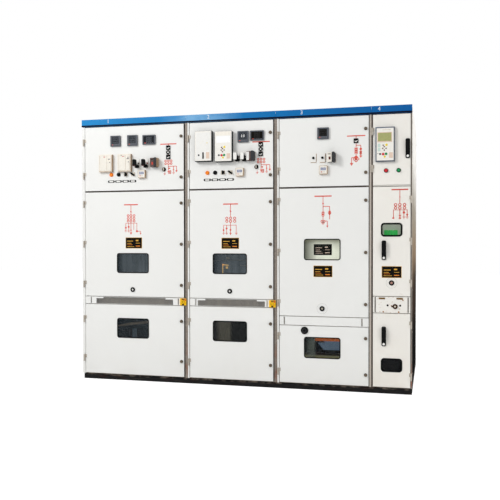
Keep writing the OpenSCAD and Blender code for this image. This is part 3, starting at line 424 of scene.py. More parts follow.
# name: (colour, roughness range, mottle, grain, bump)
MOULDED = {
    "black_plastic": ("0E0F10", (0.36, 0.52), 0.12, 700.0, 0.10),
    "grip_grey": ("3B3C3E", (0.40, 0.55), 0.10, 700.0, 0.10),
    "rubber": ("08090A", (0.55, 0.72), 0.15, 500.0, 0.15),
    "lock_grey": ("6A5D4E", (0.40, 0.54), 0.20, 400.0, 0.08),
    "lock_black": ("171614", (0.34, 0.50), 0.20, 400.0, 0.08),
    "zinc": ("A9A196", (0.34, 0.52), 0.14, 300.0, 0.10),
    "brass": ("6E5227", (0.40, 0.58), 0.35, 160.0, 0.15),
    "key_bronze": ("38200F", (0.40, 0.56), 0.25, 160.0, 0.12),
    "rust_spot": ("9C6A3A", (0.60, 0.75), 0.30, 160.0, 0.12),
    "dark_red": ("4A130C", (0.38, 0.50), 0.15, 300.0, 0.05),
    "bay_rail": ("DCD2C4", (0.44, 0.58), 0.08, 200.0, 0.08),
    "bay_slate": ("4A545C", (0.40, 0.55), 0.10, 200.0, 0.08),
    "bay_olive": ("8A8864", (0.44, 0.58), 0.12, 200.0, 0.08),
    "rail_brown": ("5C5047", (0.46, 0.60), 0.20, 120.0, 0.10),
    "lit_gold": ("E8BE78", (0.34, 0.46), 0.15, 300.0, 0.05),
    "post_pale": ("B3ABA1", (0.46, 0.60), 0.10, 120.0, 0.10),
    "face_brown": ("5E4843", (0.42, 0.56), 0.30, 90.0, 0.10),
    "edge_grime": ("5A544C", (0.46, 0.60), 0.20, 120.0, 0.10),
    "post_brown": ("4A3E37", (0.46, 0.60), 0.25, 120.0, 0.10),
    "gold_print": ("D6A23C", (0.34, 0.46), 0.12, 500.0, 0.05),
    "amber_print": ("DB7F24", (0.38, 0.50), 0.15, 500.0, 0.05),
    "plate_black": ("0E0C09", (0.30, 0.40), 0.20, 300.0, 0.04),
    "slate_case": ("50545B", (0.40, 0.54), 0.08, 700.0, 0.10),
    "display_black": ("24272B", (0.14, 0.22), 0.15, 200.0, 0.02),
    "segment_dim": ("646A72", (0.30, 0.40), 0.06, 500.0, 0.02),
    "coral_paint": ("D85A4B", (0.42, 0.55), 0.10, 260.0, 0.06),
    "mark_red": ("C8402F", (0.36, 0.48), 0.10, 500.0, 0.04),
    "relay_beige": ("F2ECE1", (0.40, 0.52), 0.03, 600.0, 0.08),
    "relay_edge": ("A08363", (0.44, 0.56), 0.10, 600.0, 0.08),
    "cover_cream": ("EFEADF", (0.16, 0.26), 0.03, 500.0, 0.03),
    "relay_white": ("F0EDE6", (0.38, 0.48), 0.02, 600.0, 0.06),
    "relay_pale": ("EDECE8", (0.30, 0.42), 0.02, 600.0, 0.05),
    "relay_charcoal": ("2C2E30", (0.42, 0.56), 0.10, 600.0, 0.10),
    "relay_blue": ("626B7A", (0.38, 0.50), 0.06, 600.0, 0.08),
    "screen_white": ("FFFFFE", (0.12, 0.22), 0.02, 300.0, 0.02),
    "screen_olive": ("A3A56A", (0.12, 0.22), 0.06, 300.0, 0.02),
    "screen_blue": ("62709A", (0.14, 0.24), 0.08, 300.0, 0.02),
    "led_pale": ("CADDD4", (0.24, 0.34), 0.05, 400.0, 0.03),
    "key_brown": ("624636", (0.42, 0.54), 0.12, 600.0, 0.06),
    "text_rose": ("B98A7C", (0.42, 0.54), 0.10, 300.0, 0.04),
    "text_pink": ("E0C8B6", (0.42, 0.54), 0.06, 600.0, 0.04),
    "legend_white": ("EFEEEA", (0.36, 0.46), 0.02, 600.0, 0.05),
    "bezel_pale": ("D5CDBD", (0.30, 0.42), 0.06, 500.0, 0.05),
    "button_orange": ("F08000", (0.26, 0.36), 0.08, 400.0, 0.04),
    "button_red": ("C9222B", (0.26, 0.36), 0.08, 400.0, 0.04),
    "button_green": ("0E8A4C", (0.26, 0.36), 0.08, 400.0, 0.04),
    "dot_yellow": ("EBD21C", (0.28, 0.38), 0.06, 400.0, 0.04),
    "interlock_yellow": ("FFC800", (0.32, 0.44), 0.06, 400.0, 0.08),
    "truck_grey": ("DEE1D6", (0.36, 0.48), 0.03, 330.0, 0.08),
    "fuse_green": ("1FB04A", (0.28, 0.40), 0.06, 400.0, 0.06),
    "cast_resin": ("4A3026", (0.26, 0.40), 0.18, 120.0, 0.10),
    "grille_grey": ("606060", (0.42, 0.58), 0.12, 260.0, 0.10),
    "navy_edge": ("0A0F22", (0.36, 0.50), 0.15, 330.0, 0.06),
    "header_white": ("E4E9EE", (0.34, 0.44), 0.04, 400.0, 0.04),
    "ring_grey": ("B9B7B2", (0.42, 0.54), 0.08, 400.0, 0.04),
    "cable_block": ("56687A", (0.34, 0.48), 0.10, 200.0, 0.08),
}
# Share of metal and of clear coat in the finishes that have any
METAL_SHARE = {
    "lock_grey": 0.2, "lock_black": 0.1, "zinc": 0.7, "brass": 0.3,
    "key_bronze": 0.2, "bay_rail": 0.1, "rail_brown": 0.1, "post_pale": 0.1,
    "post_brown": 0.1, "gold_print": 0.35, "bezel_pale": 0.1, "grille_grey": 0.35,
}
CLEAR_COAT = {
    "cover_cream": 0.4, "screen_white": 0.3, "screen_olive": 0.3, "screen_blue": 0.3,
    "button_orange": 0.2, "button_red": 0.2, "button_green": 0.2, "fuse_green": 0.1,
    "cast_resin": 0.1,
}
# Share of their own colour that pieces in the lit bays give off, a painted glow that stands for the light in
# the bays
GLOW = {
    "fuse_green": 0.35, "cable_block": 0.75, "bay_olive": 0.4, "bay_slate": 0.5,
    "truck_grey": 0.25, "lit_gold": 0.9,
}
# name: (colour, cover)
GLASS = {
    "glass_smoked": ("3C454A", 0.30),
    "glass_olive": ("1C1F20", 0.60),
    "glass_hazed": ("2C3337", 0.18),
    "glass_black": ("101214", 0.60),
    "glass_thin": ("3A4247", 0.30),
    "glass_clear": ("4B554F", 0.06),
}
# name: (panel, left and right end in metres off its left edge, colour)
# On panel 3's cable window the haze is painted light that stands for the lit side wall of the bay
HAZE = {
    "glass_olive": (1, 0.262, 0.415, "45443C"),
    "glass_hazed": (2, 0.245, 0.349, "565E58"),
}


def keep(make, name, *values):
    FINISHES[name] = make(name, *values)


def make_finishes(paint):
    for name, values in MOULDED.items():
        keep(moulded, name, *values)
    for name, values in GLASS.items():
        keep(window_glass, name, *values)
    for panel in range(2):
        keep(slate_front, f"slate_front_{panel + 1}", panel)
    for make in (end_sheet, lit_front, slanted_brace, lit_bar, base_paint, header_paint):
        keep(make, make.__name__)
    keep(door_paint, "door_paint", paint.door_code, "C9BCA8", 0.03)
    keep(door_paint, "aged_paint", paint.aged_code, "CDB79C", 0.10, 0.7)
    keep(bare_sheet, "bare_sheet", "958E84", 0.55)
    keep(bare_sheet, "post_sheet", "7F766D", 1.0, 0.35)


# Solids of the frame

def merged(node):
    """A copy of a node's mesh with its loose triangles joined and its flat faces whole."""
    bm = bmesh.new()
    bm.from_mesh(NODES[node].data)
    bmesh.ops.remove_doubles(bm, verts=bm.verts, dist=MERGE)
    bmesh.ops.dissolve_limit(bm, angle_limit=FLAT_ANGLE, verts=bm.verts, edges=bm.edges)
    return bm


def box_of(faces):
    corners = [vert.co for face in faces for vert in face.verts]
    low = Vector([min(c[i] for c in corners) for i in range(3)])
    high = Vector([max(c[i] for c in corners) for i in range(3)])
    return low, high


def islands(bm):
    """The separate solids of a merged mesh, from left to right and then upwards."""
    seen = set()
    found = []
    for seed in bm.faces:
        if seed in seen:
            continue
        seen.add(seed)
        group = [seed]
        for face in group:
            for edge in face.edges:
                for other in edge.link_faces:
                    if other not in seen:
                        seen.add(other)
                        group.append(other)
        found.append((box_of(group), group))
    found.sort(key=lambda item: (round(item[0][0].x, 4), round(item[0][0].z, 4)))
    return found


def solids(node):
    bm = merged(node)
    boxes = [box for box, faces in islands(bm)]
    bm.free()
    return boxes


PANELS = solids("header_fascias")
LEFT = [low.x for low, high in PANELS]


def spot(panel, x, z):
    """A place on a panel's front from millimetres off its left edge and above the floor."""
    return LEFT[panel] + x * MM, z * MM


def centre(low, high):
    """The middle of a box's front, in x and z."""
    return (low.x + high.x) / 2, (low.z + high.z) / 2


def link(obj):
    bpy.context.scene.collection.objects.link(obj)
    return obj


def settle(obj):
    """Turns a piece's modifiers into its plain mesh."""
    graph = bpy.context.evaluated_depsgraph_get()
    plain = bpy.data.meshes.new_from_object(
        obj.evaluated_get(graph), preserve_all_data_layers=True, depsgraph=graph
    )
    rough = obj.data
    obj.modifiers.clear()
    obj.data = plain
    bpy.data.meshes.remove(rough)
    plain.name = obj.name


def weigh_edges(bm, soften):
    """Gives every sharp edge a bevel weight that its narrowest face has room for."""
    room = {}
    for face in bm.faces:
        room[face] = face.calc_area() / max(edge.calc_length() for edge in face.edges)
    weight = bm.edges.layers.float.new("bevel_weight_edge")
    for edge in bm.edges:
        if len(edge.link_faces) == 2 and edge.calc_face_angle(0.0) > EDGE_ANGLE:
            narrowest = min(room[face] for face in edge.link_faces)
            edge[weight] = min(1.0, 0.4 * narrowest / soften)


def dress(node, finishes, pick=None, soften=0.0012):
    """A copy of a node with softened edges stands for it, with a finish for each face."""
    bm = merged(node)
    for index, ((low, high), faces) in enumerate(islands(bm)):
        for face in faces:
            face.smooth = True
            if pick:
                face.material_index = pick(index, low, high, face)
    weigh_edges(bm, soften)
    mesh = bpy.data.meshes.new(node + "_dressed")
    bm.to_mesh(mesh)
    bm.free()
    for finish in finishes:
        mesh.materials.append(FINISHES[finish])
    obj = link(bpy.data.objects.new(node + "_dressed", mesh))
    bevel = obj.modifiers.new("Softened edges", "BEVEL")
    bevel.limit_method = "WEIGHT"
    bevel.width = soften
    bevel.segments = BEVEL_STEPS
    bevel.use_clamp_overlap = True
    normals = obj.modifiers.new("Flat faces", "WEIGHTED_NORMAL")
    normals.keep_sharp = True
    settle(obj)
    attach(obj, NODES[node]["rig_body"])
    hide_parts(node)


PLATE_EDGE = 0.0004


class Relief:
    """Raised shapes that face the front, gathered into one piece."""

    def __init__(self):
        self.bm = bmesh.new()
        self.finishes = []

    def paint(self, faces, finish):
        if finish not in self.finishes:
            self.finishes.append(finish)
        for face in faces:
            face.material_index = self.finishes.index(finish)
            face.smooth = True

    def walls(self, pairs):
        """Faces between pairs of rings of corners."""
        faces = []
        for low, high in pairs:
            for i in range(len(low)):
                j = (i + 1) % len(low)
                faces.append(self.bm.faces.new((low[i], low[j], high[j], high[i])))
        return faces

    def skin(self, rings, finish):
        """A closed shape through rings of points, from the back to the front."""
        rows = [[self.bm.verts.new(point) for point in ring] for ring in rings]
        caps = [self.bm.faces.new(rows[0]), self.bm.faces.new(rows[-1][::-1])]
        self.paint(caps + self.walls(zip(rows, rows[1:])), finish)

    def shape(self, points, y, out, finish):
        """A flat shape from its outline in x and z."""
        self.skin([[(x, depth, z) for x, z in points] for depth in (y, y - out)], finish)

    def plate(self, x, z, w, h, y, out, finish, r=0.002):
        """A plate with round corners and a softened front edge."""
        rings = []
        for depth, inset in ((y, 0.0), (y - out + PLATE_EDGE, 0.0), (y - out, PLATE_EDGE)):
            outline = rounded(x, z, w - 2 * inset, h - 2 * inset, r - inset)
            rings.append([(px, depth, pz) for px, pz in outline])
        self.skin(rings, finish)

    def sheet(self, x0, z0, x1, z1, y, out, finish, r=0.002):
        """A plate from its lower left corner to its upper right one."""
        self.plate((x0 + x1) / 2, (z0 + z1) / 2, x1 - x0, z1 - z0, y, out, finish, r)

    def turned(self, x, z, y, profile, finish, sides=28):
        """A round shape from (radius, height) steps."""
        rings = []
        for radius, out in profile:
            rings.append([(px, y - out, pz) for px, pz in circle(x, z, radius, sides)])
        self.skin(rings, finish)

    def bar(self, start, end, w, y, out, finish):
        """A straight stroke between two points."""
        along = Vector((end[0] - start[0], end[1] - start[1])).normalized() * (w / 2)
        side = Vector((-along.y, along.x))
        a, b = Vector(start), Vector(end)
        self.shape([tuple(p) for p in (a - side, b - side, b + side, a + side)], y, out, finish)

    def ring(self, x, z, r, w, y, out, finish, sides=24):
        """A flat hoop."""
        rows = []
        for radius, depth in ((r, y), (r, y - out), (r - w, y - out), (r - w, y)):
            rows.append([self.bm.verts.new((px, depth, pz)) for px, pz in circle(x, z, radius, sides)])
        self.paint(self.walls(zip(rows, rows[1:] + rows[:1])), finish)

    def finish(self, name, body, slot):
        bmesh.ops.recalc_face_normals(self.bm, faces=self.bm.faces)
        mesh = bpy.data.meshes.new(name)
        self.bm.to_mesh(mesh)
        self.bm.free()
        mesh.set_sharp_from_angle(angle=SMOOTH_ANGLE)
        for finish in self.finishes:
            mesh.materials.append(FINISHES[finish])
        obj = link(bpy.data.objects.new(name, mesh))
        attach(obj, body)


def circle(x, z, r, sides):
    turn = 2 * math.pi / sides
    return [(x + r * math.cos(i * turn), z + r * math.sin(i * turn)) for i in range(sides)]


CORNER_STEPS = 4
LEAST_R = 1e-5


def rounded(x, z, w, h, r):
    """The outline of a rectangle with round corners."""
    r = max(min(r, w / 2 - LEAST_R, h / 2 - LEAST_R), LEAST_R)
    points = []
    for corner, (sx, sz) in enumerate(((1, 1), (-1, 1), (-1, -1), (1, -1))):
        for i in range(CORNER_STEPS + 1):
            angle = math.pi / 2 * (corner + i / CORNER_STEPS)
            points.append((
                x + sx * (w / 2 - r) + r * math.cos(angle),
                z + sz * (h / 2 - r) + r * math.sin(angle),
            ))
    return points


# Geometry Nodes for what repeats

def new_tree(name, inputs):
    """A node tree with a geometry in and out and named inputs."""
    tree = bpy.data.node_groups.new(name, "GeometryNodeTree")
    tree.interface.new_socket("Geometry", in_out="INPUT", socket_type="NodeSocketGeometry")
    for label, kind, value in inputs:
        socket = tree.interface.new_socket(label, in_out="INPUT", socket_type="NodeSocket" + kind)
        if value is not None:
            socket.default_value = value
    tree.interface.new_socket("Geometry", in_out="OUTPUT", socket_type="NodeSocketGeometry")
    return tree


def close_tree(tree, instances, source):
    """Realizes the instances, sets their finish and ends the tree."""
    real = add_node(tree, "GeometryNodeRealizeInstances", {"Geometry": instances.outputs[0]})
    paint = {"Geometry": real.outputs[0], "Material": source["Finish"]}
    painted = add_node(tree, "GeometryNodeSetMaterial", paint)
    add_node(tree, "NodeGroupOutput", {"Geometry": painted.outputs[0]})
    return tree


def fastener_tree():
    """A hexagon head on a washer at every point."""
    tree = new_tree("Fastener rows", [
        ("Head Radius", "Float", 0.006),
        ("Head Height", "Float", 0.004),
        ("Washer Radius", "Float", 0.009),
        ("Washer Height", "Float", 0.0016),
        ("Facing", "Vector", (0.0, 0.0, 0.0)),
        ("Finish", "Material", None),
    ])
    source = add_node(tree, "NodeGroupInput").outputs
    parts = add_node(tree, "GeometryNodeJoinGeometry")
    for label, sides, turn, below in (
        ("Washer", 16, 0.0, 0.0),
        ("Head", 6, 0.3, source["Washer Height"]),
    ):
        height = source[label + " Height"]
        size = {"Vertices": sides, "Radius": source[label + " Radius"], "Depth": height}
        solid = add_node(tree, "GeometryNodeMeshCylinder", size)
        half = add_node(tree, "ShaderNodeMath", {0: height, 1: 0.5, 2: below}, operation="MULTIPLY_ADD")
        rise = add_node(tree, "ShaderNodeCombineXYZ", {"Z": half.outputs[0]})
        lift = add_node(tree, "GeometryNodeTransform", {
            "Geometry": solid.outputs["Mesh"],
            "Translation": rise.outputs[0],
            "Rotation": (0.0, 0.0, turn),
        })
        tree.links.new(lift.outputs[0], parts.inputs[0])
    instances = add_node(tree, "GeometryNodeInstanceOnPoints", {
        "Points": source["Geometry"],
        "Instance": parts.outputs[0],
        "Rotation": source["Facing"],
    })
    return close_tree(tree, instances, source)


def slat_tree():
    """An upright slat at every point."""
    tree = new_tree("Upright slats", [
        ("Slat Width", "Float", 0.005),
        ("Slat Depth", "Float", 0.001),
        ("Slat Height", "Float", 0.05),
        ("Finish", "Material", None),
    ])
    source = add_node(tree, "NodeGroupInput").outputs
    sides = {"X": source["Slat Width"], "Y": source["Slat Depth"], "Z": source["Slat Height"]}
    size = add_node(tree, "ShaderNodeCombineXYZ", sides)
    slat = add_node(tree, "GeometryNodeMeshCube", {"Size": size.outputs[0]})
    rows = {"Points": source["Geometry"], "Instance": slat.outputs["Mesh"]}
    return close_tree(tree, add_node(tree, "GeometryNodeInstanceOnPoints", rows), source)


TREES = {}


def repeat(name, points, tree, values, body):
    """A piece made of one shape at every point."""
    mesh = bpy.data.meshes.new(name)
    mesh.from_pydata([tuple(p) for p in points], [], [])
    obj = link(bpy.data.objects.new(name, mesh))
    modifier = obj.modifiers.new("Repeat", "NODES")
    modifier.node_group = TREES[tree]
    sockets = {s.name: s.identifier for s in TREES[tree].interface.items_tree if s.in_out == "INPUT"}
    for label, value in values.items():
        modifier[sockets[label]] = value
    settle(obj)
    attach(obj, body)


# Plain groups of pieces

def build_base():
    dress("base_rails", ["base_paint"], soften=0.003)
    dress("base_cross_members", ["base_paint"], soften=0.003)


SHELL = {
    "end_walls": ("end_sheet", 0.0015),
    "dividing_walls": ("bare_sheet", 0.0012),
    "front_posts": ("post_sheet", 0.0012),
    "rear_posts": ("bare_sheet", 0.0012),
    "roof_plates": ("bare_sheet", 0.0012),
    "relief_flaps": ("bare_sheet", 0.0012),
    "floor_plates": ("bare_sheet", 0.0008),
    "shelves": ("bare_sheet", 0.0008),
    "compartment_backs": ("bare_sheet", 0.0008),
    "rear_covers": ("bare_sheet", 0.002),
}


# Finish of each hinge post from left to right, panel 4's left post pale as painted light; the width and
# finish of the strip along its right edge, the brown one on that post a painted shadow
POST_FINISH = (0, 1, 1, 2, 1)
POST_TRIM = {1: (0.014, "door_paint"), 2: (0.014, "door_paint"), 3: (0.009, "post_brown")}
TRIM_OUT = 0.0004
# Heights in metres between which the cross rails are brown
SHELF_RAIL_Z = (1.6, 1.75)
# Pale lath above panel 4's truck door: left and right off the panel's edge, bottom and top, in metres
LATH = (0.013, 0.312, 1.6975, 1.703)
LATH_BEHIND = 0.004


def build_shell():
    for node, (finish, soften) in SHELL.items():
        dress(node, [finish], soften=soften)

    def rail(index, low, high, face):
        return int(SHELF_RAIL_Z[0] < centre(low, high)[1] < SHELF_RAIL_Z[1])

    dress("cross_rails", ["bay_rail", "rail_brown"], rail)
    dress(
        "hinge_posts", ["door_paint", "post_sheet", "post_pale"],
        lambda index, low, high, face: POST_FINISH[index],
    )
    boxes = solids("hinge_posts")
    trim = Relief()
    for index, (width, finish) in POST_TRIM.items():
        low, high = boxes[index]
        trim.sheet(high.x - width, low.z, high.x, high.z, low.y, TRIM_OUT, finish, 0.0008)
    left, right, bottom, top = LATH
    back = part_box("cross_rails")[0].y
    out = back - FACE_Y - LATH_BEHIND
    trim.sheet(LEFT[3] + left, bottom, LEFT[3] + right, top, back, out, "aged_paint")
    trim.finish("post_trim", HOUSING, "bare_sheet")


# Height of a dark navy strip along the header's foot, painted shade under the header
HEADER_SHADOW_LIP = 0.013
LIP_OUT = 0.001
DIGIT_SIZE = 0.046
DIGIT_OUT = 0.0003
DIGIT_LIFT = 0.0002
# Middle of each number off its panel's left edge, in millimetres
DIGIT_AT = (262, 205, 222, 62)


def header_digits(y, z):
    """Plain panel numbers on the header."""
    bm = bmesh.new()
    stand = Matrix.Rotation(math.pi / 2, 4, "X")
    for panel, x in enumerate(DIGIT_AT):
        curve = bpy.data.curves.new("Panel number", "FONT")
        curve.body = str(panel + 1)
        curve.size = DIGIT_SIZE
        curve.extrude = DIGIT_OUT
        curve.align_x = "CENTER"
        curve.align_y = "CENTER"
        text = link(bpy.data.objects.new("Panel number", curve))
        graph = bpy.context.evaluated_depsgraph_get()
        mesh = bpy.data.meshes.new_from_object(text.evaluated_get(graph), depsgraph=graph)
        mesh.transform(Matrix.Translation((LEFT[panel] + x * MM, y, z)) @ stand)
        bm.from_mesh(mesh)
        bpy.data.objects.remove(text)
        bpy.data.curves.remove(curve)
        bpy.data.meshes.remove(mesh)
    bmesh.ops.remove_doubles(bm, verts=bm.verts, dist=MERGE)
    mesh = bpy.data.meshes.new("header_numbers")
    bm.to_mesh(mesh)
    bm.free()
    mesh.materials.append(FINISHES["header_white"])
    obj = link(bpy.data.objects.new("header_numbers", mesh))
    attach(obj, HOUSING)


def build_header():
    dress("header_fascias", ["header_paint"], soften=0.0015)
    low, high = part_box("header_fascias")
    lip_top = low.z + HEADER_SHADOW_LIP
    # Painted shade: a dark navy strip along the foot of each panel's header
    lip = Relief()
    for left, right in PANELS:
        lip.sheet(left.x, low.z, right.x, lip_top, low.y, LIP_OUT, "navy_edge", 0.0005)
    lip.finish("header_shadow_lip", HOUSING, "header_paint")
    header_digits(low.y - DIGIT_LIFT, (lip_top + high.z) / 2)


DOOR_ROWS = ("truck", "cable")
EDGE_REACH = 0.003
SIDEWARD = 0.7
FRONTWARD = -0.9


def door_pick(index, low, high, face):
    """Aged paint on the narrow panel, and painted shade on the free edge of the wide panels' doors."""
    clean, aged, shaded_edge = range(3)
    if low.x > LEFT[3]:
        return aged
    # The side faces at a wide door's free edge get a dark grey, painted shade of the gap beside the door
    at_edge = face.normal.x > SIDEWARD and face.calc_center_median().x > high.x - EDGE_REACH
    return shaded_edge if at_edge else clean


def build_doors():
    nodes = ["instrument_doors"]
    nodes += [f"{row}_door_{panel + 1}" for panel in range(4) for row in DOOR_ROWS]
    for node in nodes:
        dress(node, ["door_paint", "aged_paint", "edge_grime"], door_pick, soften=0.0022)


# Sizes and places in metres that tell one kind of door fitting from another
RIM_W = 0.13
HANDLE_H = 0.12
SOCKET_W = 0.034
LOCK_W = 0.02
LEFT_HINGE = 0.06
RIGHT_HINGE = 0.04
KEY_DOT_UP = 0.018
KEY_DOT_REACH = 0.004
KEY_DOT_OUT = 0.0125
FITTING_FINISHES = ["rubber", "zinc", "black_plastic", "lock_black", "legend_white", "lock_grey"]


def fitting_pick(panel, hinge_right):
    """Rubber for rims, sockets and the cap, zinc for knuckles, black for handles and locks, pale key dots."""
    rubber, zinc, black, lock, key_dot, lock_face = range(len(FITTING_FINISHES))
    panel_width = PANELS[panel][1].x - LEFT[panel]

    def pick(index, low, high, face):
        width = high.x - low.x
        across = centre(low, high)[0] - LEFT[panel]
        to_front = face.normal.y < FRONTWARD
        if width > RIM_W:
            return rubber
        if high.z - low.z > HANDLE_H:
            at = face.calc_center_median()
            at_dot = abs(at.z - low.z - KEY_DOT_UP) < KEY_DOT_REACH and at.y < FACE_Y - KEY_DOT_OUT
            return key_dot if at_dot and to_front else black
        at_hinge = across > panel_width - RIGHT_HINGE if hinge_right else across < LEFT_HINGE
        if at_hinge:
            return zinc
        if width > SOCKET_W:
            return rubber
        return lock_face if width > LOCK_W and to_front else lock

    return pick


def build_fittings():
    for panel in range(4):
        pick = fitting_pick(panel, panel == 3)
        for row in DOOR_ROWS:
            node = f"{row}_door_fittings_{panel + 1}"
            dress(node, FITTING_FINISHES, pick, soften=0.0015)

    def upper(index, low, high, face):
        panel = max(k for k in range(4) if LEFT[k] < centre(low, high)[0])
        return fitting_pick(panel, False)(index, low, high, face)

    dress("instrument_door_fittings", FITTING_FINISHES, upper, soften=0.0015)
    dress("hinge_pins", ["zinc"], soften=0.001)


TRUCK_GLASS = ("glass_smoked", "glass_smoked", "glass_clear", "glass_clear")
CABLE_GLASS = ("glass_thin", "glass_olive", "glass_hazed", "glass_black")


def build_windows():
    for panel in range(4):
        dress(f"truck_window_{panel + 1}", [TRUCK_GLASS[panel]], soften=0.001)
        dress(f"cable_window_{panel + 1}", [CABLE_GLASS[panel]], soften=0.001)


# Strips, grilles and interlocks

GRILLE_OUT = 0.0015
GRILLE_PITCH = 0.010
GRILLE_SLAT = 0.0052
GRILLE_IN = (0.112, 0.078)
GRILLE_END = 0.063
GRILLE_DROP = 0.012
GRILLE_MARGIN = 0.004

WIDE_PIECE = 0.045
BORE_R = 0.007
INTERLOCK_RECESS = 0.010
# Marks on a yellow interlock: x and z off its middle, width, height and finish; the dark ones above and below
# the middle are painted shade round its ring, the red one at the right a mark
INTERLOCK_MARKS = (
    (0.0, 0.0225, 0.026, 0.010, "dark_red"),
    (0.0, -0.0235, 0.019, 0.010, "black_plastic"),
    (0.021, 0.019, 0.010, 0.018, "mark_red"),
)
# Round shapes as steps of radius and height
KEY_CORE = ((0.0075, 0.0), (0.0075, 0.004), (0.006, 0.005))
KEY_RECESS = 0.006
STRIP_SCREW = ((0.008, 0.0), (0.008, 0.002), (0.006, 0.003))
# Places off the key's middle of the screws and of the rust spots, which have a radius too
SCREWS_AT = ((-0.060, 0.008), (0.040, 0.008))
RUST_SPOTS = (
    (-0.095, -0.045, 0.006), (0.029, -0.045, 0.007), (-0.030, 0.006, 0.005), (0.062, 0.052, 0.006),
)


def interlock_pick(index, low, high, face):
    """Yellow blocks with black bores, and on the narrow panel brass for wide pieces and bronze for others."""
    yellow, brass, bronze, black = range(4)
    if low.x > LEFT[3]:
        return brass if high.x - low.x > WIDE_PIECE else bronze
    at = face.calc_center_median()
    x, z = centre(low, high)
    in_bore = math.hypot(at.x - x, at.z - z) < BORE_R and abs(face.normal.y) < 0.5
    return black if in_bore else yellow


def build_strips():
    dress("vent_strips", ["door_paint"], soften=0.001)
    dress(
        "plain_strips", ["door_paint", "aged_paint"],
        lambda index, low, high, face: int(low.x > LEFT[3]),
    )
    finishes = ["interlock_yellow", "brass", "key_bronze", "black_plastic"]
    dress("interlocks", finishes, interlock_pick)
    boxes = solids("interlocks")
    marks = Relief()
    for low, high in boxes[:2]:
        x, z = centre(low, high)
        for dx, dz, w, h, finish in INTERLOCK_MARKS:
            marks.plate(x + dx, z + dz, w, h, low.y + INTERLOCK_RECESS, 0.0006, finish, 0.001)
        marks.ring(x, z, 0.0165, 0.003, low.y, 0.0004, "brass")
    marks.finish("interlock_marks", HOUSING, "interlock_yellow")
    key = next(box for box in boxes if box[0].x > LEFT[3] and box[1].x - box[0].x < WIDE_PIECE)
    strip_wear(key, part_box("plain_strips")[0].y)


def strip_wear(key, y):
    """The key's core and stem, screws and rust spots on the narrow panel's strip."""
    x, z = centre(*key)
    wear = Relief()
    wear.turned(x, z, key[0].y + KEY_RECESS, KEY_CORE, "bezel_pale", 20)
    wear.bar((x - 0.017, z), (x - 0.030, z), 0.012, y, 0.003, "key_bronze")
    for dx, dz in SCREWS_AT:
        wear.turned(x + dx, z + dz, y, STRIP_SCREW, "lock_black", 20)
    for dx, dz, r in RUST_SPOTS:
        wear.turned(x + dx, z + dz, y, ((r, 0.0), (r * 0.8, 0.0004)), "rust_spot", 14)
    wear.finish("latch_strip_wear", HOUSING, "interlock_yellow")


# Instruments

# Ends of a numeral's seven strokes, in shares of its width and height
SEGMENTS = (
    (0.0, 1.0, 1.0, 1.0), (0.0, 0.0, 1.0, 0.0), (0.0, 0.5, 1.0, 0.5),
    (0.0, 0.5, 0.0, 1.0), (1.0, 0.5, 1.0, 1.0), (0.0, 0.0, 0.0, 0.5), (1.0, 0.0, 1.0, 0.5),
)
SEGMENT_STROKE = 0.0014
SEGMENT_OUT = 0.0003


def numeral(relief, x, z, size, y, finish, stroke=SEGMENT_STROKE):
    """A seven-segment numeral."""
    w, h = size
    for x0, z0, x1, z1 in SEGMENTS:
        start = (x + (x0 - 0.5) * w, z + (z0 - 0.5) * h)
        end = (x + (x1 - 0.5) * w, z + (z1 - 0.5) * h)
        relief.bar(start, end, stroke, y, SEGMENT_OUT, finish)


# Meters are counted from left to right, and their rows and columns from the top left
DARK_METERS = (4, 5)
LIT_METER = 3
LIT_ROW = 1
LIT_COLUMNS = (1, 2)
COLUMNS = 4
NUMERAL_SIZE = (0.007, 0.0125)
NUMERAL_PITCH = 0.0135
LIT_SIZE = (0.0045, 0.020)
LIT_PITCH = 0.019
LIT_STROKE = 0.0034
LIT_LIFT = 0.0004
METER_RECESS = 0.003
METER_RIM = 0.010
METER_FACE = 0.0008
SCREEN_OUT = 0.0005
WIDE_SHAPE = 1.1
# Heights of the numerals and of the keys off a meter's middle, in shares of its height
WIDE_ROWS = (0.20, 0.0, -0.20)
SQUARE_ROWS = (0.27, 0.07, -0.13)
KEY_ROW = -0.34


def meter_numerals(faces, number, x, heights, y):
    """Rows of unlit numerals, with a lit pair on one meter."""
    dim = "grip_grey" if number in DARK_METERS else "segment_dim"
    for row, z in enumerate(heights):
        for column in range(COLUMNS):
            step = column - (COLUMNS - 1) / 2
            if number == LIT_METER and row == LIT_ROW and column in LIT_COLUMNS:
                numeral(faces, x + step * LIT_PITCH, z, LIT_SIZE, y - LIT_LIFT, "screen_white", LIT_STROKE)
            else:
                numeral(faces, x + step * NUMERAL_PITCH, z, NUMERAL_SIZE, y, dim)


def build_meters():
    dress("meters", ["slate_case"])
    faces = Relief()
    for number, (low, high) in enumerate(solids("meters")):
        x, z = centre(low, high)
        w, h = high.x - low.x, high.z - low.z
        y = low.y + METER_RECESS
        wide = w > h * WIDE_SHAPE
        screen = "plate_black" if number in DARK_METERS else "display_black"
        inner = (w - 2 * METER_RIM, h - 2 * METER_RIM)
        faces.plate(x, z, *inner, y, METER_FACE, screen if wide else "slate_case", 0.002)
        top = y - METER_FACE
        digits = top
        if not wide:
            faces.plate(x, z + SQUARE_ROWS[1] * h, w * 0.66, h * 0.62, top, SCREEN_OUT, screen, 0.001)
            digits = top - SCREEN_OUT
        rows = WIDE_ROWS if wide else SQUARE_ROWS
        meter_numerals(faces, number, x, [z + row * h for row in rows], digits)
        keys = z + KEY_ROW * h
        for column in range(COLUMNS):
            across = x + (column - 1.0) * w * 0.15
            faces.plate(across, keys, w * 0.09, h * 0.05, top, 0.0012, "segment_dim", 0.001)
        faces.plate(x - 0.29 * w, keys, w * 0.13, h * 0.055, top, 0.0004, "coral_paint", 0.0008)
    faces.finish("meter_faces", HOUSING, "meter_case")


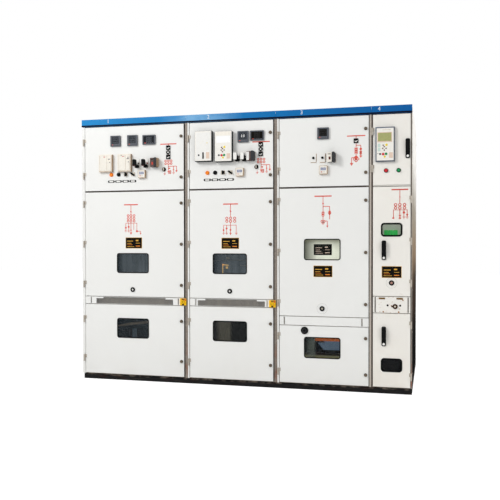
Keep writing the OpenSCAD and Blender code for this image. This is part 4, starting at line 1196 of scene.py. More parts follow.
def on_box(box):
    """Turns shares of a box's front into a place on it."""
    low, high = box
    return lambda u, v: (low.x + u * (high.x - low.x), low.z + v * (high.z - low.z))


def dots(relief, place, y, rows):
    """Small domed keys and lamps: (u, v, radius, finish)."""
    for u, v, r, finish in rows:
        x, z = place(u, v)
        relief.turned(x, z, y, ((r, 0.0), (r, 0.0012), (r * 0.75, 0.002), (r * 0.3, 0.0023)), finish, 20)


def panels_on(relief, place, y, rows):
    """Flat plates by their edges in shares of the front: (u0, u1, v0, v1, out, finish)."""
    for u0, u1, v0, v1, out, finish in rows:
        relief.sheet(*place(u0, v0), *place(u1, v1), y, out, finish, 0.0012)


KEY_R = 0.0058
KEYPAD = (
    (0.40, 0.47, KEY_R, "key_brown"), (0.46, 0.43, KEY_R, "key_brown"), (0.38, 0.38, KEY_R, "key_brown"),
    (0.55, 0.38, KEY_R, "key_brown"), (0.46, 0.33, KEY_R, "key_brown"), (0.57, 0.48, 0.0095, "dot_yellow"),
    (0.24, 0.22, 0.0080, "relay_charcoal"), (0.40, 0.215, 0.0106, "button_red"),
    (0.55, 0.22, 0.0106, "button_green"), (0.48, 0.14, 0.0082, "dot_yellow"),
)
TALL_RELAY = 0.2
CASE_RECESS = 0.002
COVER_OUT = 0.0035
FACE_OUT = 0.0026
FRAMED_OUT = 0.0016
CASE_SIDE = 0.5


def turned_away(face):
    """True for the faces of a case that look right or down, which are given painted shade."""
    return face.normal.x > CASE_SIDE or face.normal.z < -CASE_SIDE


def relay_pick(index, low, high, face):
    beige, charcoal, blue, edge = range(4)
    if low.x > LEFT[3]:
        return blue
    if high.z - low.z > TALL_RELAY:
        return charcoal
    # Faces that look right or down get tan, painted shade of the case's sides
    return edge if turned_away(face) else beige


def cream_relay(faces, box, dotted):
    """Panel 1's small relays behind cream covers."""
    place = on_box(box)
    y = box[0].y + CASE_RECESS
    panels_on(faces, place, y, [
        (0.09, 0.60, 0.08, 0.92, COVER_OUT, "cover_cream"),
        (0.64, 0.915, 0.08, 0.60, COVER_OUT, "cover_cream"),
        (0.64, 0.915, 0.66, 0.92, 0.0030, "relay_beige"),
        # Tan strips along the right and bottom edges: painted shade of the case's sides
        (0.955, 0.985, 0.03, 0.97, 0.0027, "relay_edge"),
        (0.03, 0.97, 0.02, 0.045, 0.0027, "relay_edge"),
    ])
    front = y - COVER_OUT
    panels_on(faces, place, front, [
        (0.36, 0.50, 0.84, 0.875, 0.0004, "mark_red"),
        (0.70, 0.86, 0.71, 0.745, 0.0006, "relay_charcoal"),
        (0.80, 0.86, 0.52, 0.56, 0.0006, "relay_charcoal"),
        (0.14, 0.16, 0.14, 0.80, 0.0006, "relay_beige"),
        (0.54, 0.56, 0.14, 0.80, 0.0006, "relay_beige"),
    ])
    if dotted:
        dots(faces, place, front, [(0.80, 0.80, 0.004, "relay_charcoal"), (0.30, 0.93, 0.004, "key_brown")])


def tall_relay(faces, box, keyed):
    """Panel 2's tall relays, one plain with a slot and one with a screen and keys."""
    place = on_box(box)
    y = box[0].y + CASE_RECESS
    panels_on(faces, place, y, [(0.006, 0.990, 0.022, 0.994, FACE_OUT, "relay_white")])
    front = y - FACE_OUT
    if keyed:
        panels_on(faces, place, front, [
            (0.05, 0.95, 0.86, 0.975, 0.0010, "relay_beige"),
            (0.09, 0.91, 0.62, 0.84, 0.0012, "screen_white"),
            (0.70, 0.90, 0.10, 0.27, 0.0005, "text_pink"),
        ])
        dots(faces, place, front, KEYPAD)
        return
    panels_on(faces, place, front, [
        (0.08, 0.92, 0.055, 0.945, 0.0012, "relay_pale"),
        (0.46, 0.545, 0.09, 0.30, 0.0030, "black_plastic"),
        (0.68, 0.88, 0.09, 0.30, 0.0016, "text_pink"),
        (0.30, 0.42, 0.60, 0.615, 0.0016, "relay_beige"),
        (0.62, 0.72, 0.56, 0.575, 0.0016, "relay_beige"),
    ])
    dots(faces, place, front - 0.0012, [
        (0.24, 0.21, 0.0075, "relay_charcoal"), (0.46, 0.66, 0.004, "relay_beige"),
        (0.74, 0.60, 0.004, "dot_yellow"),
    ])


def framed_relay(faces, box):
    """Panel 4's relay, with a white face in a blue frame."""
    place = on_box(box)
    y = box[0].y + CASE_RECESS
    panels_on(faces, place, y, [
        (0.058, 0.942, 0.032, 0.968, FRAMED_OUT, "relay_white"),
        # Slate strips along the right and bottom edges: painted shade of the blue frame
        (0.958, 0.996, 0.004, 0.996, FACE_OUT, "slate_case"),
        (0.004, 0.996, 0.003, 0.024, FACE_OUT, "slate_case"),
    ])
    front = y - FRAMED_OUT
    panels_on(faces, place, front, [
        (0.09, 0.86, 0.56, 0.85, 0.0006, "text_pink"),
        (0.13, 0.82, 0.59, 0.83, 0.0012, "screen_olive"),
        (0.12, 0.26, 0.30, 0.40, 0.0006, "led_pale"),
        (0.12, 0.26, 0.42, 0.52, 0.0006, "led_pale"),
        (0.70, 0.90, 0.10, 0.26, 0.0005, "text_pink"),
        (0.36, 0.80, 0.905, 0.925, 0.0004, "bezel_pale"),
    ])
    dots(faces, place, front, KEYPAD + ((0.13, 0.235, 0.003, "relay_charcoal"),))


def build_relays():
    finishes = ["relay_beige", "relay_charcoal", "relay_blue", "relay_edge"]
    dress("relays", finishes, relay_pick, soften=0.0015)
    boxes = solids("relays")
    faces = Relief()
    for number in range(2):
        cream_relay(faces, boxes[number], number == 1)
    for number in range(2):
        tall_relay(faces, boxes[2 + number], number == 1)
    framed_relay(faces, boxes[4])
    faces.finish("relay_faces", HOUSING, "relay_case")


# Control switches from left to right: panel, and whether plain, broad or a turning button
SWITCHES = (
    (0, "plain"), (0, "plain"), (0, "broad"), (1, "plain"), (1, "plain"), (1, "broad"),
    (2, "button"), (2, "button"), (2, "broad"),
)
PLATE_OUT = 0.004
PLATE_SLACK = 0.0005
SWITCH_DEPTH = 0.0335
NECK_DROP = 0.0545
BROAD_FACE_OUT = 0.040
BROAD_SPLIT = 0.0432
EDGE_W = 0.004
EDGE_IN = 0.006
LINE_OUT = 0.0004
MARK_OUT = 0.0006
TURN_CORE = ((0.006, 0.0), (0.006, 0.001), (0.004, 0.0016))


def switch_pick(index, low, high, face):
    """White legend plates, black grips and necks; broad switches have a brown or beige face. The plates'
    sides and the right side of panel 1's broad grip are tan, painted shade.
    """
    white, black, grey, tan, beige, brown = range(6)
    panel, kind = SWITCHES[index]
    place = face.calc_center_median()
    front = face.normal.y < -CASE_SIDE
    if place.y > FACE_Y - PLATE_OUT - PLATE_SLACK:
        # Painted shade: tan on the legend plate's sides
        return white if front else tan
    if kind == "button":
        return black
    if kind == "broad":
        if place.x > low.x + BROAD_SPLIT:
            # Painted shade: tan on the right side of panel 1's broad grip
            return tan if panel == 0 and face.normal.x > CASE_SIDE else grey
        return (brown, brown, beige)[panel] if front else black
    if place.y < FACE_Y - SWITCH_DEPTH:
        return white if panel == 1 and front else black
    at_neck = place.z > high.z - NECK_DROP
    return white if panel == 0 and at_neck else black


def broad_marks(marks, panel, x, z):
    """Marks on the face of a broad switch, from its left edge and its middle height."""
    y = FACE_Y - BROAD_FACE_OUT
    if panel == 1:
        marks.plate(x + 0.013, z, 0.024, 0.070, y, MARK_OUT, "legend_white", 0.002)
        marks.plate(x + 0.031, z - 0.028, 0.012, 0.014, y, MARK_OUT, "dark_red", 0.002)
        return
    red = "dark_red" if panel == 2 else "mark_red"
    marks.plate(x + 0.024, z - 0.008, 0.016, 0.024, y, MARK_OUT, red, 0.003)
    marks.plate(x + 0.020, z + 0.026, 0.024, 0.006, y, 0.0005, "lock_black", 0.001)


def build_switches():
    finishes = ["legend_white", "black_plastic", "grip_grey", "relay_edge", "relay_beige", "face_brown"]
    dress("control_switches", finishes, switch_pick, soften=0.0016)
    marks = Relief()
    y = FACE_Y - PLATE_OUT
    for index, (low, high) in enumerate(solids("control_switches")):
        panel, kind = SWITCHES[index]
        x, z = centre(low, high)
        w, h = high.x - low.x, high.z - low.z
        if kind == "button":
            marks.turned(x, z, low.y, TURN_CORE, "lock_black", 20)
            # Tan lines along the plate's right and bottom edges: painted shade
            marks.plate(high.x - EDGE_W / 2, z, EDGE_W, h - EDGE_IN, y, LINE_OUT, "relay_edge", 0.001)
            marks.plate(x, low.z + EDGE_W / 2, w - EDGE_IN, EDGE_W, y, LINE_OUT, "relay_edge", 0.001)
        elif kind == "broad":
            broad_marks(marks, panel, low.x, z)
        else:
            z = high.z - 0.039
            finish = ("lock_black", "mark_red")[index % 2] if panel == 0 else "face_brown"
            marks.turned(x + 0.020, z - 0.002, y, ((0.0065, 0.0), (0.0065, MARK_OUT)), finish, 18)
            if panel == 0:
                marks.plate(x, z - 0.0265, 0.024, 0.005, low.y, 0.0005, "dark_red", 0.001)
    marks.finish("switch_marks", HOUSING, "control_black")


# Push buttons from left to right: one row on panel 1, the same on panel 2, and two buttons on panel 4
BUTTON_ROW = ("button_orange", "black_plastic", "selector", "selector", "key_lock")
BUTTONS = BUTTON_ROW * 2 + ("button_red", "button_green")
BEZELS = {
    "button_orange": "button_orange", "black_plastic": "black_plastic", "selector": "bezel_pale",
    "button_red": "black_plastic", "button_green": "black_plastic",
}
BEZEL_OUT = 0.0052
KEY_LOCK_OUT = 0.0095
SELECTOR_PLATE = 0.038
SELECTOR_EDGE = 0.007


def build_buttons():
    finishes = ["bezel_pale", "black_plastic", "button_orange", "button_red", "button_green", "zinc"]

    def pick(index, low, high, face):
        kind = BUTTONS[index]
        y = face.calc_center_median().y
        if kind == "key_lock":
            finish = "zinc" if y < FACE_Y - KEY_LOCK_OUT else "black_plastic"
        elif y > FACE_Y - BEZEL_OUT:
            finish = BEZELS[kind]
        else:
            finish = "black_plastic" if kind == "selector" else kind
        return finishes.index(finish)

    dress("push_buttons", finishes, pick, soften=0.001)
    plates = Relief()
    side = (SELECTOR_PLATE - SELECTOR_EDGE) / 2
    front = FACE_Y - PLATE_OUT
    for kind, (low, high) in zip(BUTTONS, solids("push_buttons")):
        if kind != "selector":
            continue
        x, z = centre(low, high)
        plates.plate(x, z, SELECTOR_PLATE, SELECTOR_PLATE, FACE_Y, PLATE_OUT, "legend_white", 0.003)
        # Tan lines along the plate's right and bottom edges: painted shade
        plates.plate(x + side, z, SELECTOR_EDGE, 2 * side, front, LINE_OUT, "relay_edge", 0.001)
        plates.plate(x, z - side, 2 * side, SELECTOR_EDGE / 2, front, LINE_OUT, "relay_edge", 0.001)
    plates.finish("selector_plates", HOUSING, "control_black")


SMALL_INDICATOR = 0.05
TICK_W = 0.006


def voltage_indicator(faces, box):
    """A beige case with a blue screen, a lamp and two keys."""
    place = on_box(box)
    x, z = place(0.5, 0.5)
    y = box[0].y + CASE_RECESS
    panels_on(faces, place, y, [
        (0.01, 0.04, 0.04, 0.96, FACE_OUT, "relay_edge"),
        (0.04, 0.96, 0.96, 0.99, FACE_OUT, "relay_edge"),
        (0.93, 0.99, 0.04, 0.96, FACE_OUT, "relay_edge"),
        (0.04, 0.96, 0.01, 0.07, FACE_OUT, "relay_edge"),
        (0.15, 0.85, 0.15, 0.85, 0.0006, "relay_white"),
        (0.20, 0.80, 0.46, 0.76, 0.0012, "screen_blue"),
    ])
    for column in (-1, 0, 1):
        numeral(faces, x + column * 0.011, z + 0.0078, (0.006, 0.011), y - 0.0012, "relay_white")
    dots(faces, place, y - 0.0006, [
        (0.32, 0.27, 0.0045, "mark_red"), (0.50, 0.27, 0.0035, "bezel_pale"),
        (0.66, 0.27, 0.0035, "bezel_pale"),
    ])


def position_indicator(faces, box, round_mark):
    """A black disc with a white dot on a white square, or a white tick on a black square."""
    low, high = box
    x, z = centre(low, high)
    y = low.y
    if round_mark:
        faces.plate(x, z, high.x - low.x - 0.002, high.z - low.z - 0.002, y, LINE_OUT, "legend_white")
        faces.turned(x, z, y - LINE_OUT, ((0.0180, 0.0), (0.0180, LINE_OUT)), "rubber", 28)
        faces.turned(x, z, y - 2 * LINE_OUT, ((0.0065, 0.0), (0.0065, LINE_OUT)), "legend_white", 18)
        return
    faces.bar((x - 0.011, z - 0.002), (x + 0.001, z - 0.009), TICK_W, y, MARK_OUT, "legend_white")
    faces.bar((x - 0.001, z - 0.009), (x + 0.012, z + 0.003), TICK_W, y, MARK_OUT, "legend_white")


def build_indicators():
    def small(low, high):
        return high.x - low.x < SMALL_INDICATOR

    def pick(index, low, high, face):
        if small(low, high):
            return 1
        # Faces that look right or down get tan, painted shade of the case's sides
        return 2 if turned_away(face) else 0

    dress("indicators", ["relay_beige", "rubber", "relay_edge"], pick)
    faces = Relief()
    count = 0
    for box in solids("indicators"):
        if small(*box):
            position_indicator(faces, box, count % 3 == 1)
            count += 1
        else:
            voltage_indicator(faces, box)
    faces.finish("indicator_faces", HOUSING, "relay_case")


# Mimic diagrams, plates and labels

STROKE = 0.0054
HOOP_STROKE = 0.0062
MIMIC_OUT = 0.0004


class Mimic(Relief):
    """A single-line diagram on one panel, drawn in millimetres off the middle of its busbar."""

    def __init__(self, panel, x, z, ink):
        super().__init__()
        self.panel = panel
        self.middle = (x, z)
        self.ink = ink

    def at(self, x, z):
        return spot(self.panel, self.middle[0] + x, self.middle[1] + z)

    def line(self, *points, width=STROKE):
        for start, end in zip(points, points[1:]):
            self.bar(self.at(*start), self.at(*end), width, FACE_Y, MIMIC_OUT, self.ink)

    def hoop(self, x, z, r):
        self.ring(*self.at(x, z), r * MM, HOOP_STROKE, FACE_Y, MIMIC_OUT * 1.2, self.ink)

    def hoops(self, xs, zs, r):
        for x in xs:
            for z in zs:
                self.hoop(x, z, r)

    def dot(self, x, z, r):
        self.turned(*self.at(x, z), FACE_Y, ((r * MM, 0.0), (r * MM, MIMIC_OUT * 1.3)), self.ink, 18)

    def arrow(self, x, z, size):
        corners = ((-0.6 * size, 0.0), (0.6 * size, 0.0), (0.0, -size))
        self.shape([self.at(x + dx, z + dz) for dx, dz in corners], FACE_Y, MIMIC_OUT * 1.3, self.ink)

    def ground(self, x, z):
        for step, half in ((0, 12), (-6, 8), (-12, 4)):
            self.line((x - half, z + step), (x + half, z + step), width=0.003)


def feeder_stem(m, reach):
    """The busbar, the stem below it and its contact."""
    m.line((-67, 0), (67, 0), width=0.010)
    m.line((0, 0), (0, -reach))
    m.dot(0, -62, 6)
    m.line((-9, -56), (9, -68), width=0.003)


def feeder(m):
    """Panel 1's feeder: current transformers in three rows, earthing switch and a branch to the right."""
    feeder_stem(m, 90)
    m.hoops((-27, 0, 30), (-97, -122, -146), 12)
    low = -165
    m.line((-50, low), (59, low), width=0.004)
    m.line((0, -158), (0, low - 100))
    m.dot(0, low - 62, 7)
    m.arrow(0, low - 82, 20)
    m.line((-50, low), (-50, low - 66))
    m.hoop(-50, low - 40, 9)
    m.ground(-50, low - 66)
    m.line((-22, low), (-22, low - 70))
    m.dot(-22, low - 32, 9)
    m.ground(-22, low - 68)
    m.line((27, low), (27, low - 60), width=0.004)
    m.line((57, low), (57, low - 72), (92, low - 72), (92, low - 92), width=0.0045)
    m.dot(57, low - 72, 10)
    m.arrow(92, low - 88, 14)


def second_feeder(m):
    """Panel 2's feeder: current transformers in two rows and four short branches."""
    feeder_stem(m, 112)
    m.hoops((-33, 0, 37), (-122, -148), 13)
    low = -182
    m.line((-62, low), (53, low), width=0.004)
    for branch in (-62, -35, 51):
        m.line((branch, low), (branch, low - 72), width=0.0045)
        m.ground(branch, low - 68)
    m.hoop(-62, low - 42, 8)
    m.dot(-35, low - 28, 9)
    m.line((0, -160), (0, low - 84))
    m.dot(0, low - 40, 8)
    m.arrow(0, low - 66, 18)


def narrow_feeder(m):
    """The feeder on panel 4's truck door, with two rows of current transformers."""
    m.line((-66, 0), (66, 0), width=0.010)
    m.line((0, 0), (0, -108))
    m.dot(0, -60, 5)
    m.hoops((-34, 0, 37), (-123, -148), 13)
    m.line((-50, -165), (58, -165), width=0.004)
    m.line((-50, -162), (-50, -222))
    m.hoop(-52, -230, 8)
    m.line((0, -154), (0, -214))
    m.arrow(0, -206, 18)
    m.hoop(0, -232, 9)
    m.line((32, -162), (32, -222))
    m.dot(32, -186, 10)
    m.ground(32, -222)
    m.line((58, -162), (58, -222))
    m.dot(58, -204, 8)
    m.ground(58, -222)


def measuring(m):
    """Voltage transformers and an arrester below a busbar."""
    reach = 138
    m.line((-72, 0), (72, 0), width=0.010)
    m.line((0, 0), (0, -reach))
    m.dot(0, -reach * 0.45, 7)
    m.line((0, -reach * 0.62), (55, -reach * 0.62), (55, -reach * 1.4))
    m.dot(55, -reach * 0.95, 11)
    m.arrow(55, -reach * 1.0, 26)
    m.line((-9, -reach * 0.95), (9, -reach * 0.95), (9, -reach * 1.12))
    m.line((9, -reach * 1.12), (-9, -reach * 1.12), (-9, -reach * 0.95))
    m.hoops((0,), (-reach * 1.02, -reach * 1.16), 11)
    m.line((0, -reach * 1.25), (0, -reach * 1.44))
    m.hoop(-9, -reach * 1.52, 11)
    m.hoop(9, -reach * 1.52, 11)
    m.hoop(0, -reach * 1.62, 11)
    m.line((16, -reach * 1.5), (36, -reach * 1.5), (36, -reach * 1.82))
    m.arrow(36, -reach * 1.78, 16)


def upper_feeder(m):
    """The part of a feeder on an instrument door, below its position indicators."""
    m.line((-75, 0), (75, 0), width=0.009)
    m.line((0, 0), (0, -130))
    m.hoops((-26, 0, 26), (-148, -172), 11)
    m.line((0, -183), (0, -212))
    m.line((-2, -196), (74, -196))
    m.dot(10, -214, 7)
    m.line((0, -205), (0, -262))
    m.arrow(0, -236, 18)
    m.hoops((16,), (-240, -254), 10)
    m.line((48, -196), (48, -250))
    m.dot(48, -226, 6)
    m.ground(48, -252)
    m.line((76, -196), (76, -246))
    m.arrow(76, -232, 18)
    m.line((-34, -240), (-34, -268), width=0.003)
    m.ground(-34, -258)


def upper_measuring(m):
    """The measuring branch on panel 3's instrument door."""
    m.line((-75, 0), (75, 0), width=0.009)
    m.line((0, 0), (0, -200))
    m.line((0, -78), (38, -78), (38, -172))
    m.dot(38, -108, 10)
    m.hoop(38, -132, 10)
    m.hoop(38, -146, 10)
    m.arrow(38, -162, 20)
    for side in (-10, 10):
        m.line((side, -96), (side, -150))
    m.hoops((0,), (-112, -130), 12)
    m.dot(0, -178, 15)
    m.hoop(-14, -190, 12)
    m.hoop(14, -190, 12)
    m.hoop(0, -204, 12)
    m.line((-14, -178), (-37, -178), (-37, -226))
    m.arrow(-37, -222, 24)


# Row of doors, panel, drawing, and the middle of its busbar in millimetres off the panel's edge and the floor
MIMICS = (
    ("upper", 0, upper_feeder, 835, 2105),
    ("upper", 1, upper_feeder, 673, 2095),
    ("upper", 2, upper_measuring, 675, 2114),
    ("truck", 0, feeder, 478, 1577),
    ("truck", 1, second_feeder, 402, 1570),
    ("truck", 2, measuring, 402, 1624),
    ("truck", 3, narrow_feeder, 227, 1667),
)


def build_mimics():
    for row, panel, draw, x, z in MIMICS:
        m = Mimic(panel, x, z, "mark_red" if panel == 3 else "coral_paint")
        draw(m)
        body = HOUSING if row == "upper" else f"truck_leaf_{panel + 1}"
        m.finish(f"{row}_mimic_{panel + 1}", body, "door_paint")


# Plates on the truck doors: left, right, bottom and top, in millimetres off the panel's edge and the floor
NAME_PLATES = ((426, 584, 1187, 1285), (321, 478, 1185, 1280), (322, 480, 951, 1046), (83, 242, 951, 1046))
# Printed bars by their edges in shares of a plate
PLATE_BARS = (
    (0.10, 0.46, 0.64, 0.70, "gold_print"), (0.10, 0.36, 0.45, 0.49, "gold_print"),
    (0.10, 0.42, 0.32, 0.36, "amber_print"), (0.10, 0.52, 0.16, 0.20, "gold_print"),
    (0.62, 0.88, 0.18, 0.26, "amber_print"), (0.62, 0.88, 0.46, 0.50, "gold_print"),
    (0.62, 0.78, 0.66, 0.78, "gold_print"),
)
BORDER_OUT = 0.0010
PRINT_OUT = 0.0003


def name_plate(relief, panel, edges, y, border="gold_print", print_as=None):
    """A black plate with a border and plain printed bars, in gold and amber unless told."""
    x0, x1, z0, z1 = edges
    left, bottom = spot(panel, x0, z0)
    right, top = spot(panel, x1, z1)
    place = on_box((Vector((left, 0, bottom)), Vector((right, 0, top))))
    panels_on(relief, place, y, [(0.0, 1.0, 0.0, 1.0, BORDER_OUT, border)])
    face = y - BORDER_OUT
    panels_on(relief, place, face, [(0.016, 0.984, 0.028, 0.972, PRINT_OUT, "plate_black")])
    for u0, u1, v0, v1, finish in PLATE_BARS:
        panels_on(relief, place, face - PRINT_OUT, [(u0, u1, v0, v1, PRINT_OUT, print_as or finish)])


def round_of(node, least):
    """The middle and the front of the first round piece of a node that is wider than the given size."""
    for low, high in solids(node):
        w, h = high.x - low.x, high.z - low.z
        if abs(w - h) < MM and w > least:
            return centre(low, high), low.y
    raise RuntimeError(f"no round piece over {least} m in {node}")


SOCKET_RING_R = 0.044
# Finish and radius of the core in each panel's racking socket
SOCKET_CORES = (
    ("legend_white", 0.0068), ("legend_white", 0.0068), ("bezel_pale", 0.0066), ("text_rose", 0.0095),
)
CAP_W = 0.05
# Rows of pill labels: panel, left, right and height in millimetres
PILL_ROWS = ((0, 255, 532, 1787), (1, 159, 436, 1781))
PILLS = 4
PILL_OUT = 0.0012


def build_plates():
    for panel, edges in enumerate(NAME_PLATES):
        relief = Relief()
        name_plate(relief, panel, edges, FACE_Y)
        socket = round_of(f"truck_door_fittings_{panel + 1}", SOCKET_W)[0]
        if panel >= 2:
            relief.ring(*socket, SOCKET_RING_R, 0.0016, FACE_Y, 0.0003, "ring_grey", 40)
        finish, r = SOCKET_CORES[panel]
        relief.turned(*socket, FACE_Y, ((r, 0.0), (r, 0.0042), (r * 0.7, 0.0048)), finish, 20)
        relief.finish(f"name_plate_{panel + 1}", f"truck_leaf_{panel + 1}", "control_black")
    cap = Relief()
    place, front = round_of("cable_door_fittings_3", CAP_W)
    cap.ring(*place, 0.018, 0.006, front, 0.0006, "grip_grey")
    cap.finish("cap_ring", "cable_leaf_3", "control_black")
    pills = Relief()
    for panel, left, right, height in PILL_ROWS:
        pitch = (right - left) / PILLS
        for i in range(PILLS):
            x, z = spot(panel, left + (i + 0.5) * pitch, height)
            pills.plate(x, z, 0.066, 0.021, FACE_Y, PILL_OUT, "black_plastic", 0.0095)
            pills.plate(x, z, 0.038, 0.0115, FACE_Y - PILL_OUT, 0.0008, "legend_white", 0.003)
    pills.finish("pill_labels", HOUSING, "control_black")


# What shows through the windows, in millimetres off the panel's left edge and above the floor

# node: (finish, slot, softening in metres)
BAY_PIECES = {
    "transformer_truck": ("lit_front", "truck_grey", 0.002),
    "contactor_truck": ("truck_grey", "truck_grey", 0.002),
    "fuse_carriers": ("fuse_green", "fuse_green", 0.002),
    "current_transformers": ("cast_resin", "cast_resin", 0.003),
    "transformer_rails": ("relay_edge", "passivated_steel", 0.001),
}
DUCT_SIDE = ((314, 366), (369, 303), (631, 305), (631, 366))
SILL = ((3, 230), (797, 254))
TRUCK_PLATE = (311, 465, 1132, 1225)
FRONT_BARS = (
    ((205, 1077), (500, 1086), 0.007, "ring_grey"),
    ((290, 1049), (290, 957), 0.008, "lit_gold"),
    ((290, 1044), (342, 1038), 0.009, "lit_gold"),
    ((318, 1018), (338, 1018), 0.018, "lit_gold"),
    ((322, 1102), (352, 1102), 0.020, "bezel_pale"),
    ((449, 1039), (499, 1036), 0.008, "ring_grey"),
)
# Depths behind the doors' face, in metres
BRACE_BACK = 0.341
BAR_BACK = 0.2635
DUCT_BACK = 0.266
SILL_BACK = 0.270


def bay_pick(index, low, high, face):
    """In panel 1 the brace before the post, and in panel 3 the bar before the duct."""
    brace, post, bar, duct = range(4)
    depth = face.calc_center_median().y - FACE_Y
    if low.x < LEFT[1]:
        return brace if depth < BRACE_BACK else post
    return bar if depth < BAR_BACK else duct


def build_trucks():
    fronts = ["slate_front_1", "slate_front_2"]
    dress("breaker_trucks", fronts, lambda index, low, high, face: index, soften=0.002)
    for node, (finish, slot, soften) in BAY_PIECES.items():
        dress(node, [finish], soften=soften)
    bay_finishes = ["slanted_brace", "bay_slate", "lit_bar", "cable_block"]
    dress("cable_fittings", bay_finishes, bay_pick, soften=0.002)
    duct = Relief()
    duct.shape([spot(2, x, z) for x, z in DUCT_SIDE], FACE_Y + DUCT_BACK, 0.0025, "cable_block")
    low, high = SILL
    duct.sheet(*spot(2, *low), *spot(2, *high), FACE_Y + SILL_BACK, 0.006, "bay_olive")
    duct.finish("cable_duct_trim", HOUSING, "bay_paint")
    relief = Relief()
    name_plate(relief, 2, TRUCK_PLATE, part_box("transformer_truck")[0].y, "post_brown", "text_pink")
    relief.finish("truck_name_plate", HOUSING, "truck_grey")
    front = solids("breaker_trucks")[1][0].y
    relief = Relief()
    for start, end, width, finish in FRONT_BARS:
        relief.bar(spot(1, *start), spot(1, *end), width, front, 0.0008, finish)
    relief.finish("truck_front_marks", HOUSING, "truck_slate")


# Fasteners

def grid(xs, ys, zs):
    return [Vector((x, y, z)) for x in xs for y in ys for z in zs]


def spaced(low, high, pitch):
    """Even steps from low to high, at about the given pitch."""
    count = max(2, round((high - low) / pitch) + 1)
    return [low + (high - low) * i / (count - 1) for i in range(count)]


COVER_INSET = 0.018
COVER_PITCH = 0.3
FLAP_INSET = 0.02
FLAP_PITCH = 0.2
WALL_INSET = 0.025
WALL_END = 0.12
WALL_PITCH = 0.35
FLAT_HEAD = {"Head Height": 0.0012, "Washer Height": 0.0004}
QUARTER = math.pi / 2


def build_fasteners(trim):
    TREES["fasteners"] = fastener_tree()
    TREES["slats"] = slat_tree()
    tall = {
        "Head Radius": trim.head_radius,
        "Head Height": trim.head_height,
        "Washer Radius": trim.washer_radius,
        "Finish": FINISHES["zinc"],
    }
    flat = {**tall, **FLAT_HEAD}
    rear = []
    for low, high in solids("rear_covers"):
        xs = (low.x + COVER_INSET, high.x - COVER_INSET)
        zs = (low.z + COVER_INSET, high.z - COVER_INSET)
        for z in zs:
            rear += grid(spaced(*xs, COVER_PITCH), [high.y], [z])
        for x in xs:
            rear += grid([x], [high.y], spaced(*zs, COVER_PITCH)[1:-1])
    backwards = {**flat, "Facing": (-QUARTER, 0.0, 0.0)}
    repeat("rear_fasteners", rear, "fasteners", backwards, HOUSING)
    roof = []
    for low, high in solids("relief_flaps"):
        ys = spaced(low.y + FLAP_INSET, high.y - FLAP_INSET, FLAP_PITCH)
        for x in (low.x + FLAP_INSET, high.x - FLAP_INSET):
            roof += grid([x], ys, [high.z])
    repeat("roof_fasteners", roof, "fasteners", tall, HOUSING)
    walls = solids("end_walls")
    for name, (low, high), side, turn in (
        ("left_wall_fasteners", walls[0], 0, -QUARTER),
        ("right_wall_fasteners", walls[-1], 1, QUARTER),
    ):
        ys = (low.y + WALL_INSET, high.y - WALL_INSET)
        points = grid([(low, high)[side].x], ys, spaced(low.z + WALL_END, high.z - WALL_END, WALL_PITCH))
        sideways = {**flat, "Facing": (0.0, turn, 0.0)}
        repeat(name, points, "fasteners", sideways, HOUSING)


def build_grilles():
    """Dark slats across the vent strips, taller over the middle of each strip."""
    for panel, (low, high) in enumerate(solids("vent_strips")):
        y = low.y - GRILLE_OUT / 2
        start, end = low.x + GRILLE_IN[panel], high.x - GRILLE_IN[panel]
        count = int((end - start) / GRILLE_PITCH)
        middle = (low.z + high.z) / 2
        xs = [start + (i - 0.25) * GRILLE_PITCH for i in range(count + 2)]
        inner = [x for x in xs if start + GRILLE_END < x < end - GRILLE_END]
        outer = [x for x in xs if x not in inner]
        tall = high.z - low.z - GRILLE_MARGIN
        rows = (("middle", inner, tall, 0.0), ("end", outer, tall - GRILLE_DROP, GRILLE_DROP / 2))
        for name, group, height, drop in rows:
            values = {
                "Slat Width": GRILLE_SLAT,
                "Slat Depth": GRILLE_OUT,
                "Slat Height": height,
                "Finish": FINISHES["grille_grey"],
            }
            points = [Vector((x, y, middle - drop)) for x in group]
            repeat(f"grille_{name}_slats_{panel + 1}", points, "slats", values, HOUSING)


# Stage

WHITE = (1.0, 1.0, 1.0, 1.0)
FLOOR_GREY = (0.72, 0.72, 0.72, 1.0)
FLOOR_REACH = 20.0
FLOOR_BELOW = 0.0005
VIEW_REACH = 60.0


def aim(obj, place, target):
    obj.location = place
    obj.rotation_euler = (Vector(target) - Vector(place)).to_track_quat("-Z", "Y").to_euler()


def build_camera():
    data = bpy.data.cameras.new("Camera")
    data.sensor_width = SENSOR
    data.sensor_fit = "HORIZONTAL"
    data.lens = FOCAL_PX * SENSOR / IMAGE_PX
    data.clip_end = VIEW_REACH
    camera = link(bpy.data.objects.new("Camera", data))
    level = math.cos(CAMERA_PITCH)
    forward = Vector((math.sin(CAMERA_YAW) * level, math.cos(CAMERA_YAW) * level, math.sin(CAMERA_PITCH)))
    right = Vector((math.cos(CAMERA_YAW), -math.sin(CAMERA_YAW), 0.0))
    up = right.cross(forward)
    turn = Matrix((right, up, -forward)).transposed().to_4x4()
    camera.matrix_world = Matrix.Translation(CAMERA_AT) @ turn @ Matrix.Rotation(CAMERA_ROLL, 4, "Z")
    bpy.context.scene.camera = camera


def seen_rays(tree):
    """One for rays from the camera, a mirror or a pane, and nought for light."""
    path = add_node(tree, "ShaderNodeLightPath").outputs
    total = path["Is Camera Ray"]
    for name in ("Is Glossy Ray", "Is Transmission Ray"):
        total = add_node(tree, "ShaderNodeMath", {0: total, 1: path[name]}, operation="MAXIMUM").outputs[0]
    return total


